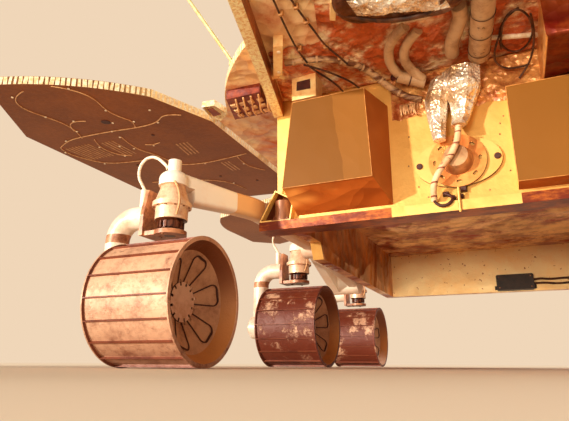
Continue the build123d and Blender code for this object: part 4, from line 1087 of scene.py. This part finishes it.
# Wing latches
# A bright metal bracket on the deck in front of each front wing's inner corner, with a slot in its
# foot for the wing's pin.
latch_points = (
    (0.584, -0.4725), (0.599, -0.492), (0.59, -0.554), (0.556, -0.55), (0.5465, -0.5005)
)
slot_points = ((0.588, -0.5), (0.582, -0.542), (0.566, -0.54), (0.564, -0.502))
for side_name, side in sides:
    outline = [(side * x, y, 0.6425) for x, y in latch_points]
    add_slabs("latch_" + side_name, [outline], (0, 0, 0.018), 0.002, edge_metal)
    outline = [(side * x, y, 0.6426) for x, y in slot_points]
    add_slabs("latch_slot_" + side_name, [outline], (0, 0, -0.0012), 0.0004, box_skin)


# Suspension pivots
# A ring of cap screws and a turned dust cap on the end of each rocker's and each bogie's bearing.
for side_name, side in sides:
    # Its place, the radius and number of its ring of screws, then a screw's and the cap's radius
    for pivot, x, y, z, circle, count, screw, cap in (
        ("pivot", 0.486, -0.1, 0.367, 0.034, 8, 0.0034, 0.02),
        ("bogie", 0.551, 0.35, 0.31, 0.03, 6, 0.0032, 0.018),
    ):
        centre = (side * x, y, z)
        screws = bolt_circle(centre, circle, count, (side, 0, 0))
        add_bolts(f"{pivot}_screws_{side_name}", screws, screw, cap_metal)
        dust_cap = [(centre, (side, 0, 0))]
        add_bolts(f"{pivot}_cap_{side_name}", dust_cap, cap, drive_metal, 32, 0.25)


# Lenses and flange bolts
# Two glass lenses in dark rims, screwed into the camera bar, and the bolts through the flanges of
# the mast and of the dish antenna's post.
lens_x, lens_z = 0.136, 1.44
bar_face = -0.842
for side_name, side in sides:
    rim = [((side * lens_x, bar_face, lens_z), (0, -1, 0))]
    add_bolts("lens_rim_" + side_name, rim, 0.0192, black_box, 32, 0.14, "camera_bar")
    pane = [((side * lens_x, bar_face - 0.0024, lens_z), (0, -1, 0))]
    add_bolts("lens_glass_" + side_name, pane, 0.015, glass, 32, 0.2, "camera_bar")
bolts = bolt_circle((0, -0.77, 0.676), 0.06, 8, (0, 0, 1))
add_bolts("mast_bolts", bolts, 0.0042, cap_metal)
bolts = bolt_circle((0.3, 0.48, 0.6725), 0.04, 6, (0, 0, 1))
add_bolts("antenna_bolts", bolts, 0.0032, cap_metal)


# Studs and bus bars
# Pale plastic hold-down studs through the tops of the deck and wings, and thin metal bus bars that
# lie over the cells and join them.
top_z = 0.662
columns = (-0.5, -0.25, 0, 0.25, 0.5)
studs = [((x, y, top_z), (0, 0, 1)) for x in columns for y in (-0.42, -0.02, 0.38, 0.72)]
add_bolts("deck_studs", studs, 0.006, tie_white, 16, 0.3)
bars = [rectangle(x - 0.002, x + 0.002, -0.45, 0.7, top_z) for x in (-0.336, 0, 0.336)]
add_slabs("deck_bus_bars", bars, (0, 0, 0.0006), 0.0002, edge_metal)
for side_name, side in sides:
    for wing, low, high in (("front", -0.4, 0.08), ("rear", 0.24, 0.66)):
        body = f"wing_{wing}_{side_name}"
        bars = []
        for x in (0.756, 0.966):
            near, far = sorted((side * (x - 0.002), side * (x + 0.002)))
            bars.append(rectangle(near, far, low, high, top_z))
        add_slabs(body + "_bus_bars", bars, (0, 0, 0.0006), 0.0002, edge_metal, body)
        rows = (low + 0.02, high - 0.02)
        places = [((side * x, y, top_z), (0, 0, 1)) for x in (0.66, 0.86, 1.06) for y in rows]
        add_bolts(body + "_top_studs", places, 0.006, tie_white, 16, 0.3, body)


# Floor, background and light
# Pale sandy ground and a warm pale sky, with a low sun in front of the rover's right side, a weak
# one behind it and a soft glow from the ground ahead.
half = 30
floor_mesh = bpy.data.meshes.new("floor")
floor_mesh.from_pydata(rectangle(-half, half, -half, half, 0), [], [(0, 1, 2, 3)])
floor = bpy.data.objects.new("floor", floor_mesh)
scene.collection.objects.link(floor)
floor_finish, s = new_finish("floor", 0.85)
s.tree.nodes["Principled BSDF"].inputs["Base Color"].default_value = (*paint(250, 228, 200), 1)
floor_mesh.materials.append(floor_finish)
world = bpy.data.worlds.new("studio")
scene.world = world
world.use_nodes = True
tree = world.node_tree
light = tree.nodes["Background"]
light.inputs["Color"].default_value = (1.0, 0.86, 0.70, 1)
light.inputs["Strength"].default_value = 0.44
backdrop = tree.nodes.new("ShaderNodeBackground")
backdrop.inputs["Color"].default_value = (*paint(240, 214, 184), 1)
rays = tree.nodes.new("ShaderNodeLightPath")
choice = tree.nodes.new("ShaderNodeMixShader")
tree.links.new(rays.outputs["Is Camera Ray"], choice.inputs[0])
tree.links.new(light.outputs[0], choice.inputs[1])
tree.links.new(backdrop.outputs[0], choice.inputs[2])
tree.links.new(choice.outputs[0], tree.nodes["World Output"].inputs["Surface"])
for name, strength, colour, spread, place in (
    ("key", 4.3, (1.0, 0.90, 0.76), 2.5, (-0.55, -0.80, 0.13)),
    ("back_fill", 1.3, (1.0, 0.92, 0.84), 30.0, (0.5, 0.8, 0.9)),
):
    lamp = bpy.data.objects.new(name, bpy.data.lights.new(name, "SUN"))
    lamp.data.energy = strength
    lamp.data.color = colour
    lamp.data.angle = math.radians(spread)
    lamp.rotation_euler = (-Vector(place)).to_track_quat("-Z", "Y").to_euler()
    scene.collection.objects.link(lamp)

glow = bpy.data.objects.new("ground_glow", bpy.data.lights.new("ground_glow", "SPOT"))
glow.data.energy = 150
glow.data.color = (1.0, 0.82, 0.62)
glow.data.shadow_soft_size = 0.3
glow.data.spot_size = math.radians(70)
glow.data.spot_blend = 0.3
glow.location = (-0.3, -2.6, 0.06)
glow.rotation_euler = Vector((-0.1, -0.9, -0.48)).to_track_quat("Z", "Y").to_euler()
glow.visible_camera = False
scene.collection.objects.link(glow)
